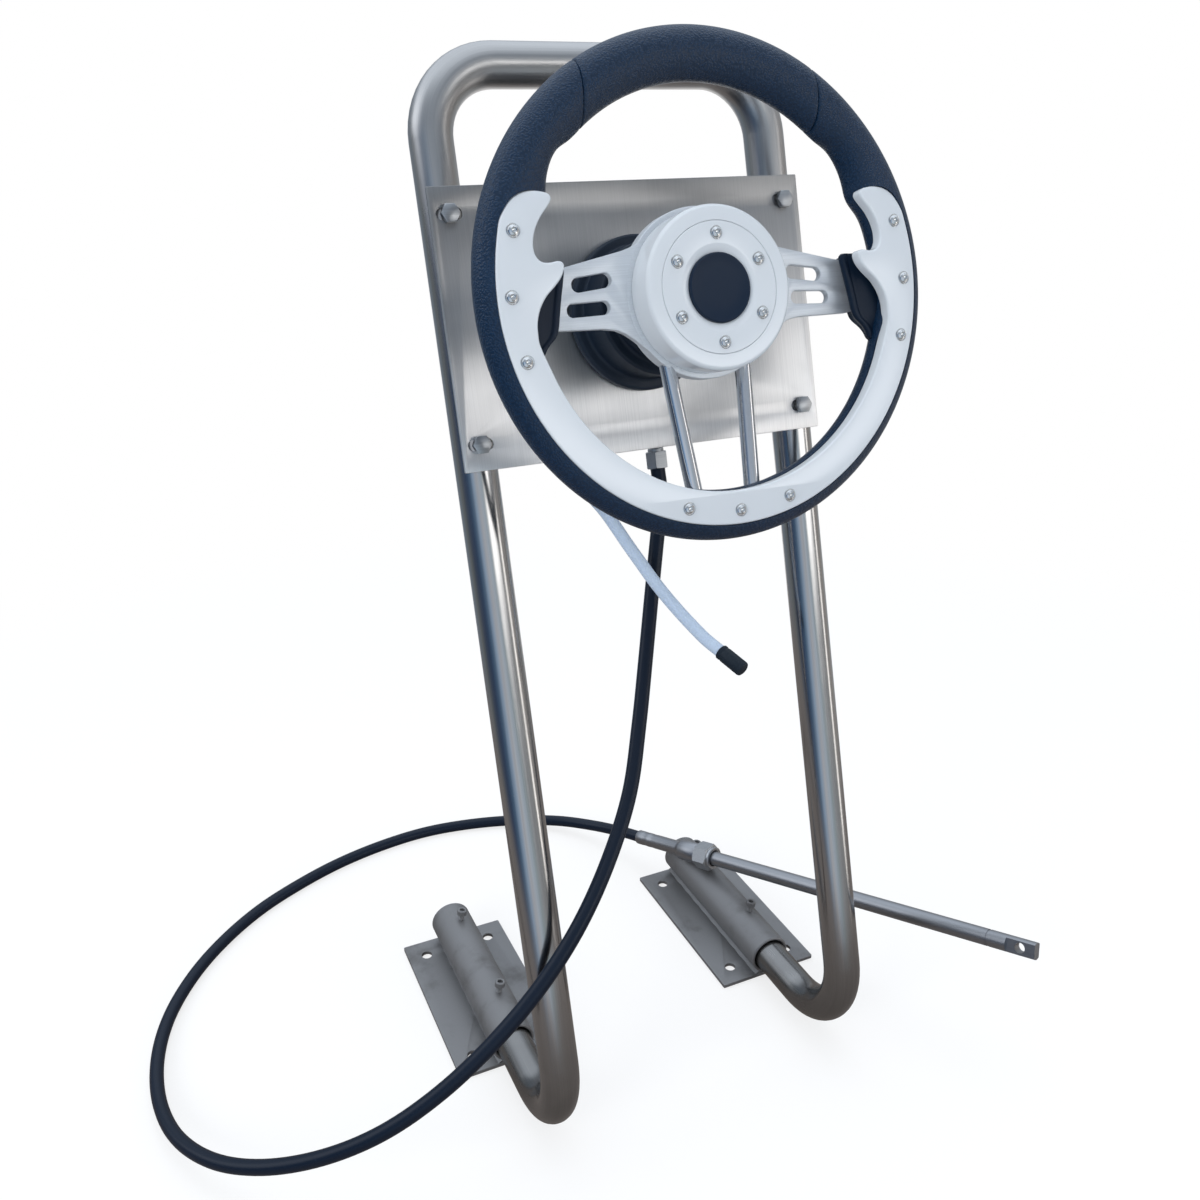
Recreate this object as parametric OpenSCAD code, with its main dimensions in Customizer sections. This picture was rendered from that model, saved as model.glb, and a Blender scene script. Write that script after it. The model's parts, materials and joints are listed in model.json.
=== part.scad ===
// Free-standing boat steering helm: bent tube console, sport wheel, rotary cable helm and steering cable.
// Units are millimetres, +Z is up, +X is to the driver's right and +Y points away from the driver.
// The origin is on the floor, under the middle of the console without its free cable.

/* [Console tube] */
// Outside diameter of the bent console tube
tube_d = 33.7; // [32:0.1:35]
// Wall thickness of the console tube
tube_wall = 2; // [1.5:0.1:3]
// Distance between the centre lines of the two uprights
upright_pitch = 290; // [280:1:310]
// Backward lean of the uprights in degrees
lean = 16; // [14:0.5:18]
// Height of the top bar's centre line along the uprights, from the corner with the feet
upright_len = 890; // [880:1:920]
// Centre line radius of the two bends at the floor
foot_bend_r = 66; // [60:1:70]
// Centre line radius of the two bends at the top
top_bend_r = 55; // [50:1:65]

/* [Foot brackets] */
// Width of each base plate
base_w = 110; // [106:1:120]
// Length of each base plate
base_len = 200; // [190:1:215]
// Thickness of each base plate
base_t = 4; // [3:0.5:6]
// Distance from the tube corner back to the base plates' front edges
base_setback = 140; // [135:1:150]
// Diameter of the floor bolt holes
base_hole_d = 11; // [9:0.5:12]
// Spacing of the floor bolt holes across the plate
base_hole_x = 70; // [68:1:78]
// Spacing of the floor bolt holes along the plate
base_hole_y = 156; // [140:1:164]
// Outside diameter of the socket tube
socket_d = 42.4; // [42:0.1:45]
// Bore of the socket tube
socket_bore = 36; // [35.5:0.1:37]
// Thread diameter of the socket's clamp screws
clamp_d = 6; // [5:0.5:8]

/* [Helm plate] */
// Width of the helm plate
plate_w = 320; // [310:1:330]
// Height of the helm plate
plate_h = 210; // [200:1:216]
// Thickness of the helm plate
plate_t = 3; // [2.5:0.5:4]
// Height of the plate's centre along the uprights
plate_s = 694; // [688:1:698]
// Spacing of the plate bolts along the uprights
plate_bolt_pitch = 170; // [160:1:176]
// Thread diameter of the plate bolts
plate_bolt_d = 8; // [7:0.5:8]
// Length of the slots that the plate bolts pass
plate_slot_len = 20; // [16:1:24]

/* [Steering wheel] */
// Height of the wheel's axis along the uprights
hub_s = 696; // [694:1:702]
// Turn of the wheel at rest in degrees, seen by the driver
wheel_rest = -1.2; // [-4:0.2:4]
// Outside diameter of the wheel
wheel_d = 350; // [344:1:360]
// Width of the rim section in the wheel's plane
rim_w = 36; // [34:0.5:37]
// Depth of the rim section along the wheel's axis
rim_t = 31; // [30:0.5:33]
// Distance of the rim's middle plane in front of the uprights' middle plane
rim_h = 140; // [139:0.5:142]
// Diameter of the hub screw circle
hub_pcd = 74; // [72:0.5:76]
// Diameter of the white hub cap
cap_d = 113; // [111:0.5:116]
// Diameter of the two polished rods
rod_d = 12; // [10:0.5:12.5]

/* [Rotary helm] */
// Diameter of the steering shaft
shaft_d = 19; // [18:0.5:20]
// Radius at which the cable's core runs round the drum
core_r = 36; // [35.5:0.1:36.5]
// Diameter of the cable's core
core_d = 7; // [6:0.2:7.2]
// Gear module of the planetary reduction
gear_mod = 1.5; // [1.48:0.01:1.52]
// Distance of the drum's groove behind the uprights' middle plane
drum_back = 50; // [49:0.5:51]

/* [Steering cable] */
// Outside diameter of the cable's jacket
cable_d = 13; // [12:0.5:14]
// Outside diameter of the spent-travel tube
spent_d = 11; // [10:0.5:12]
// Outside diameter of the ram
ram_d = 15.9; // [15:0.1:16.5]
// Length of the ram from the coupling nut's middle
ram_len = 386; // [380:1:392]
// Width across the flats of the coupling nut
coupling_af = 27; // [26:0.5:27.5]

/* [Hidden] */
$fn = 96;

// Radial running clearance of turning fits
run_clear = 0.05;
// Radial clearance of bolts in drilled holes
bolt_clear = 0.5;
// Gap kept between pieces that move past each other
pass_gap = 0.3;
// Overlap used where one solid is cut through another
cut_over = 1;

// Console tube
tube_r = tube_d / 2;
half_pitch = upright_pitch / 2;
weld_sink = 0.8;
bend_thin = 0.15;
bend_lap = 1;
foot_z = base_t + socket_d / 2 - weld_sink;
foot_tangent = foot_bend_r * tan((90 + lean) / 2);
foot_short = 10;
foot_end = base_setback + base_len - foot_short;
rim_mid_r = wheel_d / 2 - rim_w / 2;
front_reach = norm([rim_w / 2 * sin(lean), rim_t / 2 * cos(lean)]);
front_y = (hub_s - rim_mid_r) * sin(lean) - rim_h * cos(lean) - front_reach;
corner_y = -(front_y + base_setback + base_len) / 2;
side = [-1, 1];

// Foot brackets
base_mid_y = corner_y + base_setback + base_len / 2;
weld_leg = 5;
clamp_front = 50;
clamp_back = 30;
clamp_tilt = 10;
clamp_head_d = 1.67 * clamp_d;
clamp_stand = 6;
clamp_hex = 5 / 6 * clamp_d;
mouth_bead_r = 1.6;

// Helm plate and its bolts
plate_back = tube_r;
plate_front = tube_r + plate_t;
bolt_af = 1.625 * plate_bolt_d;
bolt_head_t = 0.66 * plate_bolt_d;
washer_t = 1.6;
washer_r = plate_bolt_d;
nut_t = 0.8 * plate_bolt_d;
bolt_tail = 4;

// Rotary helm, measured along the wheel's axis from the uprights' middle plane
wall_set = 11;
wall_in = plate_back - wall_set;
neck_r = 30;
neck_len = 16;
neck_front = plate_front + neck_len;
flange_r = 58;
flange_t = 6;
case_r = 54;
case_in = 46;
case_back = -66;
cover_t = 6;
bush_wall = 3.5;
bush_r = shaft_d / 2 + bush_wall;
journal_r = 5;
rear_bush_r = 8;
boss_r = 13;
gear_gap = 2;
gear_front = wall_in - gear_gap;
gear_w = 12;
gear_back = gear_front - gear_w;
web_front = gear_back - gear_gap;
web_t = 8;
drum_lip = 4;
drum_r = core_r + drum_lip;
drum_back_z = case_back + pass_gap;
drum_front = wall_in - pass_gap;
drum_waist_r = 30;
ring_out_r = 43;
groove_clear = pass_gap;

// Gear teeth: sun on the shaft, three planets on fixed pins, ring inside the drum
sun_z = 12;
planet_z = 18;
ring_z = sun_z + 2 * planet_z;
planet_count = 3;
planet_orbit = gear_mod * (sun_z + planet_z) / 2;
pin_r = 4;
pin_depth = 8;
pressure = 20;
tooth_add = 0.75;
tooth_ded = 1.1;
flank_thin = 0.12;
flank_steps = 5;
planet_angle = [90, 210, 330];
planet_phase = [for (a = planet_angle) a + 180 + 180 / planet_z];

// Ports of the helm, hanging down behind the plate
port_boss_r = 11;
port_boss_end = -72;
port_seat = -56;
port_thread_r = 8;
port_tube_r = 7;
port_nut_top = -112;
port_end = -127;
port_bore_r = core_d / 2 + 0.7;
cable_nut_af = 17.5;
spent_nut_af = 15;

// Bezel steps: radius and the height of each step's front above the plate
bezel_r = [60.5, 51.5, 42, 34];
bezel_rise = [10, 42, 50, 56];
bezel_round = 2.5;
bezel_front = [for (k = bezel_rise) plate_front + k];
bezel_skin = 3;
bezel_top = bezel_front[3];

// Wheel hub, measured along the wheel's axis
boss_gap = 6;
boss_back = bezel_top + boss_gap;
taper_lead = 2;
taper_start = boss_back + taper_lead;
taper_len = 26;
taper_rate = 1 / 24;
taper_end = taper_start + taper_len;
taper_r = shaft_d / 2 - taper_len * taper_rate;
stud_r = 6;
stud_len = 16;
boss_flange_t = 6;
hub_back = taper_end + boss_flange_t;
spoke_set = 5;
spoke_t = 6;
hub_seat = 0.5;
hub_face = hub_back + spoke_set + spoke_t + hub_seat;
hub_lip = 3.5;
hub_r = cap_d / 2 + hub_lip;
hub_bore_r = 24;
spoke_back = hub_back + spoke_set;
boss_flange_r = 47;
boss_body_r = 22;
key_w = 5;
cap_depth = 24.5;
cap_face = hub_face + cap_depth;
cap_round = 3;
cap_skin = 3;
ring_r = 45;
ring_t = 3.5;
ledge_t = 3;
ring_gap = 0.2;
centre_r = 24;
centre_bevel = 6;
screw_d = 5;
screw_head_r = 4.75;
screw_head_t = 2.75;
screw_hex = 3;
pillar_r = 6;

// Wheel rim
rim_half_w = rim_w / 2;
rim_half_t = rim_t / 2;
rim_sides = 48;
core_ring_r = 6;
core_drop = 6;
core_ring_h = rim_h - core_drop;
seam_angle = 55;
seam_gap = 0.4;
insert_rise = 8;
insert_back = rim_h + insert_rise;
insert_t = 6.5;
insert_front = insert_back + insert_t;
insert_lip = 11;
insert_w = 24;
insert_screw_set = 10;
insert_out_r = wheel_d / 2 - insert_lip;
insert_in_r = insert_out_r - insert_w;
insert_screw_r = insert_out_r - insert_screw_set;
insert_screw_step = 15.5;
insert_screw_depth = 9;
tongue_w = 24;
tongue_set = 3;
tongue_in = insert_in_r - tongue_set;
spoke_scale = wheel_d / 350;
rod_top = concat(spoke_scale * [31, -47], [spoke_back]);
rod_foot = [spoke_scale * 23, 0, core_ring_h - 1];

// Half outline of the white insert from its lower inner edge up over the thumb rest to the tip
insert_arc_low = -90;
insert_arc_in = -17;
insert_arc_out = 17;
insert_arc_step = 4;
insert_edge = [[137.6, -32], [138.4, -24], [137.8, -16], [135, -8], [130, -0.5], [123.5, 5.5], [118.5, 11],
    [116, 16], [115.6, 19], [117, 21], [120, 21.6], [125, 20.8], [130, 21.2], [133.4, 23.6], [135.2, 28],
    [135.2, 34], [133.2, 41], [129, 48.5], [123.4, 55], [120.4, 59], [120, 61.6], [121.6, 63.6], [125, 64.8],
    [131, 65.6], [137, 65.4], [143, 63.6], [148.6, 60], [153, 54.6]];

// Half outline of a spoke and the centre lines of its two slots
spoke_edge = [[40, 41], [47, 36.5], [54, 33.2], [62, 30.8], [112, 20], [150, 14], [150, -14], [122, -20],
    [80, -20.6], [70, -22], [63, -25], [56, -30], [49, -36], [40, -43]];
slot_ends = [[[75.5, 12], [95.5, 9.6]], [[78, -6.4], [101, -7.2]]];
slot_r = [5, 4.7];
slot_steps = 12;

// Half outline of a spoke pad: its free edge from the top down, then its edge inside the rim
pad_inner = [[115.3, 21.4], [113.1, 20], [112.5, 17.5], [117, -3], [120.5, -20], [123, -25.4], [129, -31.4],
    [132, -36], [133.6, -41], [136, -42.4]];
pad_outer = [[150, -42.4], [150, 21.6], [120, 21.6]];
pad_lap = 2.5;
pad_back = spoke_back - pad_lap;
pad_ridge_w = 5;
pad_ridge_front = insert_back - 1;
pad_front = pad_ridge_front - 3;

// Cable end, measured along the ram's axis from the coupling nut's middle
nut_gap = 1.5;
nut_at = [143, 104.7, foot_z + socket_d / 2 + coupling_af / sqrt(3) + nut_gap];
ram_turn = 21.9;
ram_rise = 12.7;
ram_roll = 71;
nut_len = 22;
ferrule_r = 8.2;
ferrule_start = -106;
collar_start = -42;
collar_taper = 5;
collar_body_r = 11.6;
collar_gap = 0.6;
collar_end = -nut_len / 2 - collar_gap;
collar_r = 10.4;
collar_flange_r = 11.8;
flange_len = 5;
collar_flange_at = -7;
guide_r = 5.2;
guide_end = 300;
ram_bore_r = guide_r + run_clear;
ram_start = 0;
ram_groove = 46;
ram_groove_w = 2;
ram_groove_depth = 0.5;
tang_len = 27;
tang_t = 10;
link_hole_d = 9.7;
link_hole_at = 14;

// Cable and spent-tube routes: free points of the run, in millimetres
cable_points = [[29, 20, 506], [12, -2, 454], [-6, -27, 406], [-27, -57, 361], [-51, -88, 317], [-83, -115, 277],
    [-120, -138, 240], [-160, -152, 204], [-204, -158, 168], [-250, -155, 131], [-297, -143, 97],
    [-344, -121, 69], [-389, -90, 47], [-426, -50, 30], [-452, 0, 18], [-463, 56, 11], [-460, 114, 8],
    [-444, 169, 7], [-415, 220, 7], [-378, 263, 7], [-333, 300, 7], [-282, 328, 7], [-229, 349, 7],
    [-172, 362, 7], [-115, 366, 7], [-58, 358, 7], [-4, 340, 8], [42, 309, 13], [74, 270, 21]];
spent_points = [[-31, 30, 543], [-21.5, 23.5, 530], [-14.5, 15.5, 517], [-8, 6, 503.5], [-1.5, -4, 490.5],
    [5, -14.5, 477.5], [12.5, -24.5, 464.5], [20, -36, 452.5], [27, -48.5, 442], [33.5, -62.5, 433]];
spent_end = [39.5, -78.5, 427];
spent_turn = 20;
spent_dip = 19;
spent_dir = [sin(spent_turn) * cos(spent_dip), -cos(spent_turn) * cos(spent_dip), -sin(spent_dip)];
spent_cap_len = 26;
spent_cap_r = spent_d / 2 + 1.2;
cable_lead = 30;
spent_lead = 9;
cord_sides = 12;
cord_steps = 2;

// Names of the pieces

// Places children on the leaning plane of the uprights: x right, y up the uprights, z towards the driver
module leaning() {
    translate([0, corner_y, foot_z]) rotate([90 - lean, 0, 0]) children();
}

// Places children on the wheel's axis, in the same directions
module helm() {
    leaning() translate([0, hub_s, 0]) children();
}

// Places children on the wheel as it rests, turned about the helm's axis
module wheel_axis() {
    helm() rotate([0, 0, wheel_rest]) children();
}

// Places children on the ram's axis, with z along the ram
module ram_axis() {
    translate(nut_at) rotate([90 - ram_rise, 0, ram_turn]) children();
}

// Point in the helm's directions, turned to the row's frame
function helm_point(p) = [p[0],
    corner_y + (hub_s + p[1]) * sin(lean) - p[2] * cos(lean),
    foot_z + (hub_s + p[1]) * cos(lean) + p[2] * sin(lean)];

// Unit vector along the ram
ram_dir = [sin(ram_turn) * cos(ram_rise), -cos(ram_turn) * cos(ram_rise), sin(ram_rise)];

// Disc between two heights
module disc(r, z0, z1) {
    translate([0, 0, z0]) cylinder(r = r, h = z1 - z0);
}

// Hexagonal prism between two heights
module hexagon(af, z0, z1) {
    translate([0, 0, z0]) cylinder(d = af / cos(30), h = z1 - z0, $fn = 6);
}

// Rod between two points
module bar(p, q, r) {
    v = q - p;
    translate(p)
        rotate([0, acos(v[2] / norm(v)), atan2(v[1], v[0])])
            cylinder(r = r, h = norm(v));
}

// Button-head screw with a hexagon recess, head seated at height z and shank reaching down
module button_screw(z, depth) {
    difference() {
        union() {
            disc(screw_d / 2, z - depth, z);
            translate([0, 0, z]) cylinder(r1 = screw_head_r, r2 = screw_head_r * 0.62, h = screw_head_t);
        }
        hexagon(screw_hex, z + screw_head_t / 3, z + screw_head_t + cut_over);
    }
}

// Bend of the console tube about the local z axis, drawn in by the thinning of a real bend
module tube_bend(r, bend_r, angle) {
    rotate_extrude(angle = angle) translate([bend_r, 0]) circle(r = r - bend_thin);
}

// Straight of the console tube along the local z axis, lapped over the bends at both ends
module tube_straight(r, len) {
    translate([0, 0, -bend_lap]) cylinder(r = r, h = len + 2 * bend_lap);
}

// Solid run of the console tube at radius r; the open ends of the feet are drawn longer by over
module console_run(r, over) {
    for (k = side) {
        translate([k * half_pitch, corner_y + foot_tangent, foot_z])
            rotate([-90, 0, 0])
                tube_straight(r, foot_end - foot_tangent + over);
        translate([k * half_pitch, corner_y + foot_tangent, foot_z + foot_bend_r])
            rotate([0, 90, 180])
                tube_bend(r, foot_bend_r, 90 + lean);
        leaning()
            translate([k * half_pitch, foot_tangent, 0])
                rotate([-90, 0, 0])
                    tube_straight(r, upright_len - top_bend_r - foot_tangent);
    }
    leaning() {
        translate([-half_pitch + top_bend_r, upright_len - top_bend_r, 0])
            rotate([0, 0, 90])
                tube_bend(r, top_bend_r, 90);
        translate([half_pitch - top_bend_r, upright_len - top_bend_r, 0])
            tube_bend(r, top_bend_r, 90);
        translate([-half_pitch + top_bend_r, upright_len, 0])
            rotate([0, 90, 0])
                tube_straight(r, upright_pitch - 2 * top_bend_r);
    }
}

// Places children at the four plate bolts
module at_plate_bolts() {
    leaning()
        for (k = side)
            for (m = side)
                translate([k * half_pitch, plate_s + m * plate_bolt_pitch / 2, 0]) children();
}

module frame_tube() {
    color([0.66, 0.65, 0.63])
        difference() {
            console_run(tube_r, 0);
            console_run(tube_r - tube_wall, cut_over);
            at_plate_bolts() disc(plate_bolt_d / 2 + bolt_clear, -tube_d, tube_d);
        }
}

// Places children at the two clamp screws of one bracket
module at_clamps() {
    for (y = [base_setback + clamp_front, base_setback + base_len - clamp_back])
        translate([0, corner_y + y, foot_z]) rotate([0, clamp_tilt, 0]) children();
}

// Base plate with its welded socket tube
module foot_bracket() {
    difference() {
        union() {
            translate([-base_w / 2, corner_y + base_setback, 0]) cube([base_w, base_len, base_t]);
            translate([0, corner_y + base_setback, foot_z])
                rotate([-90, 0, 0])
                    cylinder(d = socket_d, h = base_len);
            weld_half = sqrt(pow(socket_d / 2, 2) - pow(foot_z - base_t - weld_leg / 2, 2));
            translate([0, corner_y + base_setback + base_len, 0])
                rotate([90, 0, 0])
                    linear_extrude(base_len)
                        polygon([[-weld_half - weld_leg, base_t - weld_sink], [weld_half + weld_leg, base_t - weld_sink],
                            [weld_half + weld_leg, base_t], [weld_half, base_t + weld_leg / 2],
                            [-weld_half, base_t + weld_leg / 2], [-weld_half - weld_leg, base_t]]);
        }
        translate([0, corner_y + base_setback - cut_over, foot_z])
            rotate([-90, 0, 0])
                cylinder(d = socket_bore, h = base_len + 2 * cut_over);
        at_clamps() disc(clamp_d / 2, 0, socket_d);
        for (k = side)
            for (m = side)
                translate([k * base_hole_x / 2, base_mid_y + m * base_hole_y / 2, -cut_over])
                    cylinder(d = base_hole_d, h = base_t + 2 * cut_over);
    }
}

module left_foot_bracket() {
    color([0.5, 0.49, 0.48]) translate([-half_pitch, 0, 0]) foot_bracket();
}

module right_foot_bracket() {
    color([0.5, 0.49, 0.48]) translate([half_pitch, 0, 0]) foot_bracket();
}

// Socket-head clamp screws standing proud of the sockets, tips on the tube
module foot_clamp_screws() {
    head_z = socket_d / 2 + clamp_stand;
    color([0.62, 0.62, 0.62])
        for (k = side)
            translate([k * half_pitch, 0, 0])
                at_clamps()
                    difference() {
                        union() {
                            disc(clamp_d / 2, tube_r, head_z);
                            disc(clamp_head_d / 2, head_z, head_z + clamp_d);
                        }
                        hexagon(clamp_hex, head_z + clamp_d / 2, head_z + clamp_d + cut_over);
                    }
}

module helm_plate() {
    slot_w = plate_bolt_d + 2 * bolt_clear;
    slot_run = plate_slot_len - slot_w;
    color([0.74, 0.73, 0.71])
        difference() {
            leaning()
                translate([-plate_w / 2, plate_s - plate_h / 2, plate_back])
                    cube([plate_w, plate_h, plate_t]);
            at_plate_bolts() {
                translate([-slot_run / 2, -slot_w / 2, plate_back - cut_over])
                    cube([slot_run, slot_w, plate_t + 2 * cut_over]);
                for (k = side)
                    translate([k * slot_run / 2, 0, 0])
                        disc(slot_w / 2, plate_back - cut_over, plate_front + cut_over);
            }
            helm() disc(neck_r, plate_back - cut_over, plate_front + cut_over);
            at_dowels() disc(dowel_r, plate_back - cut_over, plate_front + cut_over);
        }
}

module plate_bolts() {
    color([0.7, 0.7, 0.69])
        at_plate_bolts() {
            disc(plate_bolt_d / 2, -tube_r - washer_t - nut_t - bolt_tail, plate_front);
            hexagon(bolt_af, plate_front, plate_front + bolt_head_t);
        }
}

module plate_washers() {
    color([0.7, 0.7, 0.69])
        at_plate_bolts()
            difference() {
                disc(washer_r, -tube_r - washer_t, -tube_r);
                disc(plate_bolt_d / 2 + bolt_clear / 2, -tube_r - washer_t - cut_over, -tube_r + cut_over);
            }
}

module plate_nuts() {
    color([0.7, 0.7, 0.69])
        at_plate_bolts()
            difference() {
                hexagon(bolt_af, -tube_r - washer_t - nut_t, -tube_r - washer_t);
                disc(plate_bolt_d / 2, -tube_r - washer_t - nut_t - cut_over, -tube_r);
            }
}

// Rounded front edge of one bezel step and the corner it drops to
function bezel_edge(i) = concat([for (a = [0 : 15 : 90])
    [bezel_r[i] - bezel_round * (1 - cos(a)), bezel_front[i] - bezel_round * (1 - sin(a))]],
    i < 3 ? [[bezel_r[i + 1], bezel_front[i]]] : [[0, bezel_front[i]]]);

// Stepped bezel that screws on to the housing's neck and hides the plate's opening
module helm_bezel() {
    color([0.04, 0.045, 0.06])
        helm()
            difference() {
                rotate_extrude()
                    polygon(concat([[0, plate_front], [bezel_r[0], plate_front]],
                        [for (i = [0 : 3]) each bezel_edge(i)]));
                disc(neck_r, plate_front - cut_over, bezel_top - bezel_skin);
                disc(shaft_d / 2 + 1, plate_front, bezel_top + cut_over);
            }
}

dowel_r = 2.5;
dowel_at = 50;

// Places children at the two dowels that stop the housing turning
module at_dowels() {
    helm() for (k = side) translate([k * dowel_at, 0, 0]) children();
}

// Places children at one of the helm's two ports, with z pointing up the port
module at_port(k) {
    helm() translate([k * core_r, 0, -drum_back]) rotate([-90, 0, 0]) children();
}

cover_screw_r = 2;
cover_screw_at = 50;
cover_screw_len = 16;
cover_head_r = 3.5;
cover_head_t = 2.5;

// Places children at the cover screws
module at_cover_screws() {
    helm() for (a = [0 : 90 : 270]) rotate([0, 0, a]) translate([cover_screw_at, 0, 0]) children();
}

module helm_housing() {
    color([0.12, 0.12, 0.13])
        difference() {
            union() {
                helm() {
                    disc(case_r, case_back, plate_back - flange_t / 2);
                    disc(flange_r, plate_back - flange_t, plate_back);
                    disc(neck_r, plate_back - cut_over, neck_front);
                }
                for (k = side) at_port(k) disc(port_boss_r, port_boss_end, port_boss_end + case_in);
            }
            helm() {
                disc(case_in, case_back - cut_over, wall_in);
                disc(bush_r, wall_in - cut_over, neck_front + cut_over);
            }
            at_planets() disc(pin_r, wall_in - cut_over, wall_in + pin_depth);
            at_dowels() disc(dowel_r, plate_back - flange_t, plate_back + cut_over);
            at_cover_screws() disc(cover_screw_r, case_back - cut_over, case_back + cover_screw_len);
            for (k = side)
                at_port(k) {
                    disc(port_bore_r, port_boss_end - cut_over, 0);
                    disc(port_thread_r, port_boss_end - cut_over, port_seat);
                }
        }
}

module helm_dowels() {
    color([0.6, 0.6, 0.6]) at_dowels() disc(dowel_r, plate_back - flange_t, plate_front);
}

module helm_cover() {
    color([0.12, 0.12, 0.13])
        difference() {
            helm() {
                disc(case_r, case_back - cover_t, case_back);
                disc(boss_r, case_back - cut_over, web_front - web_t - 2);
            }
            helm() disc(rear_bush_r, case_back, web_front);
            at_cover_screws()
                disc(cover_screw_r + bolt_clear / 2, case_back - cover_t - cut_over, case_back + cut_over);
        }
}

module cover_screws() {
    back = case_back - cover_t;
    color([0.6, 0.6, 0.6])
        at_cover_screws()
            difference() {
                union() {
                    disc(cover_screw_r, back, case_back + cover_screw_len);
                    disc(cover_head_r, back - cover_head_t, back);
                }
                hexagon(cover_screw_r, back - cover_head_t - cut_over, back - cover_head_t / 3);
            }
}

module shaft_bushings() {
    color([0.72, 0.55, 0.3])
        helm() {
            difference() {
                disc(bush_r, wall_in, neck_front);
                disc(shaft_d / 2 + run_clear, wall_in - cut_over, neck_front + cut_over);
            }
            difference() {
                disc(rear_bush_r, case_back, web_front - web_t - 2);
                disc(journal_r + run_clear, case_back - cut_over, web_front);
            }
        }
}

// Keyed taper shaft with a shoulder inside the housing and a journal for the sun gear
module input_shaft() {
    color([0.75, 0.75, 0.76])
        wheel_axis()
            difference() {
                union() {
                    disc(journal_r, case_back + 3, gear_front);
                    disc(shaft_d / 2 + 2, gear_front, wall_in - pass_gap);
                    disc(shaft_d / 2, gear_front, taper_start);
                    translate([0, 0, taper_start])
                        cylinder(r1 = shaft_d / 2, r2 = taper_r, h = taper_len);
                    disc(stud_r, taper_end, hub_back + stud_len);
                }
                key_cut();
            }
}

// Space of the key, shared by the shaft and the wheel boss
module key_cut() {
    translate([-key_w / 2, taper_r - key_w / 2, taper_start + 3]) cube([key_w, key_w, taper_len - 8]);
}

module shaft_key() {
    color([0.6, 0.6, 0.58]) wheel_axis() key_cut();
}

module shaft_nut() {
    color([0.7, 0.7, 0.69])
        wheel_axis()
            difference() {
                union() {
                    disc(stud_r * 2, hub_back, hub_back + 2.5);
                    hexagon(stud_r * 3, hub_back + 2.5, hub_back + 12.5);
                }
                disc(stud_r, hub_back - cut_over, hub_back + stud_len);
            }
}

// Involute of an angle, in degrees
function involute(a) = tan(a) * 180 / PI - a;

// Outline of a gear: half the tooth angle at the pitch circle is widened by grow millimetres
function gear_outline(z, add, ded, grow, steps = flank_steps) =
    let (rp = gear_mod * z / 2, rb = rp * cos(pressure), ra = rp + add * gear_mod, rr = rp - ded * gear_mod,
        r0 = max(rb, rr), half = 90 / z + grow / rp * 180 / PI + involute(pressure),
        radii = [for (i = [0 : steps]) r0 + (ra - r0) * i / steps])
    [for (k = [0 : z - 1])
        let (c = k * 360 / z,
            up = concat(rr < r0 ? [[rr, half - involute(acos(min(1, rb / r0)))]] : [],
                [for (r = radii) [r, half - involute(acos(min(1, rb / r)))]]))
        each concat([for (p = up) p[0] * [cos(c - p[1]), sin(c - p[1])]],
            [for (i = [len(up) - 1 : -1 : 0]) up[i][0] * [cos(c + up[i][1]), sin(c + up[i][1])]])];

module sun_gear() {
    color([0.7, 0.66, 0.5])
        helm()
            difference() {
                translate([0, 0, gear_back])
                    linear_extrude(gear_w)
                        polygon(gear_outline(sun_z, tooth_add, tooth_ded, -flank_thin));
                disc(journal_r, gear_back - cut_over, gear_front + cut_over);
            }
}

// Places children at all planets, turned to their own direction
module at_planets() {
    helm() for (a = planet_angle) rotate([0, 0, a]) translate([planet_orbit, 0, 0]) children();
}

module planet_pins() {
    color([0.65, 0.65, 0.65]) at_planets() disc(pin_r, gear_back - 1.4, wall_in + pin_depth);
}

module planet_clips() {
    color([0.3, 0.3, 0.32])
        at_planets()
            difference() {
                disc(pin_r + 2.5, gear_back - 1.3, gear_back - pass_gap);
                disc(pin_r, gear_back - 2, gear_back);
            }
}

// One planet gear, meshed with the sun and the ring
module planet_gear(i) {
    color([0.74, 0.7, 0.55])
        helm()
            translate(planet_orbit * [cos(planet_angle[i]), sin(planet_angle[i]), 0])
                rotate([0, 0, planet_phase[i]])
                    difference() {
                        translate([0, 0, gear_back])
                            linear_extrude(gear_w)
                                polygon(gear_outline(planet_z, tooth_add, tooth_ded, -flank_thin));
                        disc(pin_r + run_clear, gear_back - cut_over, gear_front + cut_over);
                    }
}

module planet_gear_1() {
    planet_gear(0);
}

module planet_gear_2() {
    planet_gear(1);
}

module planet_gear_3() {
    planet_gear(2);
}

// Drum with the ring gear inside its front and the core's groove round its back
module cable_drum() {
    groove_r = core_d / 2 + groove_clear;
    color([0.8, 0.8, 0.78])
        helm()
            difference() {
                rotate_extrude()
                    polygon([[0, drum_back_z], [drum_r, drum_back_z], [drum_r, -drum_back + 8],
                        [drum_waist_r, -drum_back + 8], [drum_waist_r, web_front - web_t],
                        [ring_out_r, web_front - web_t], [ring_out_r, drum_front], [0, drum_front]]);
                disc(boss_r + run_clear, drum_back_z - cut_over, web_front - web_t);
                disc(journal_r + 4, drum_back_z, drum_front);
                translate([0, 0, web_front])
                    rotate([0, 0, 180 / ring_z])
                        linear_extrude(drum_front - web_front + cut_over)
                            polygon(gear_outline(ring_z, tooth_ded, tooth_add, flank_thin));
                rotate_extrude() translate([core_r, -drum_back]) circle(r = groove_r);
                rotate_extrude()
                    translate([core_r, -drum_back - groove_r]) square([drum_r, 2 * groove_r]);
            }
}

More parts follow.
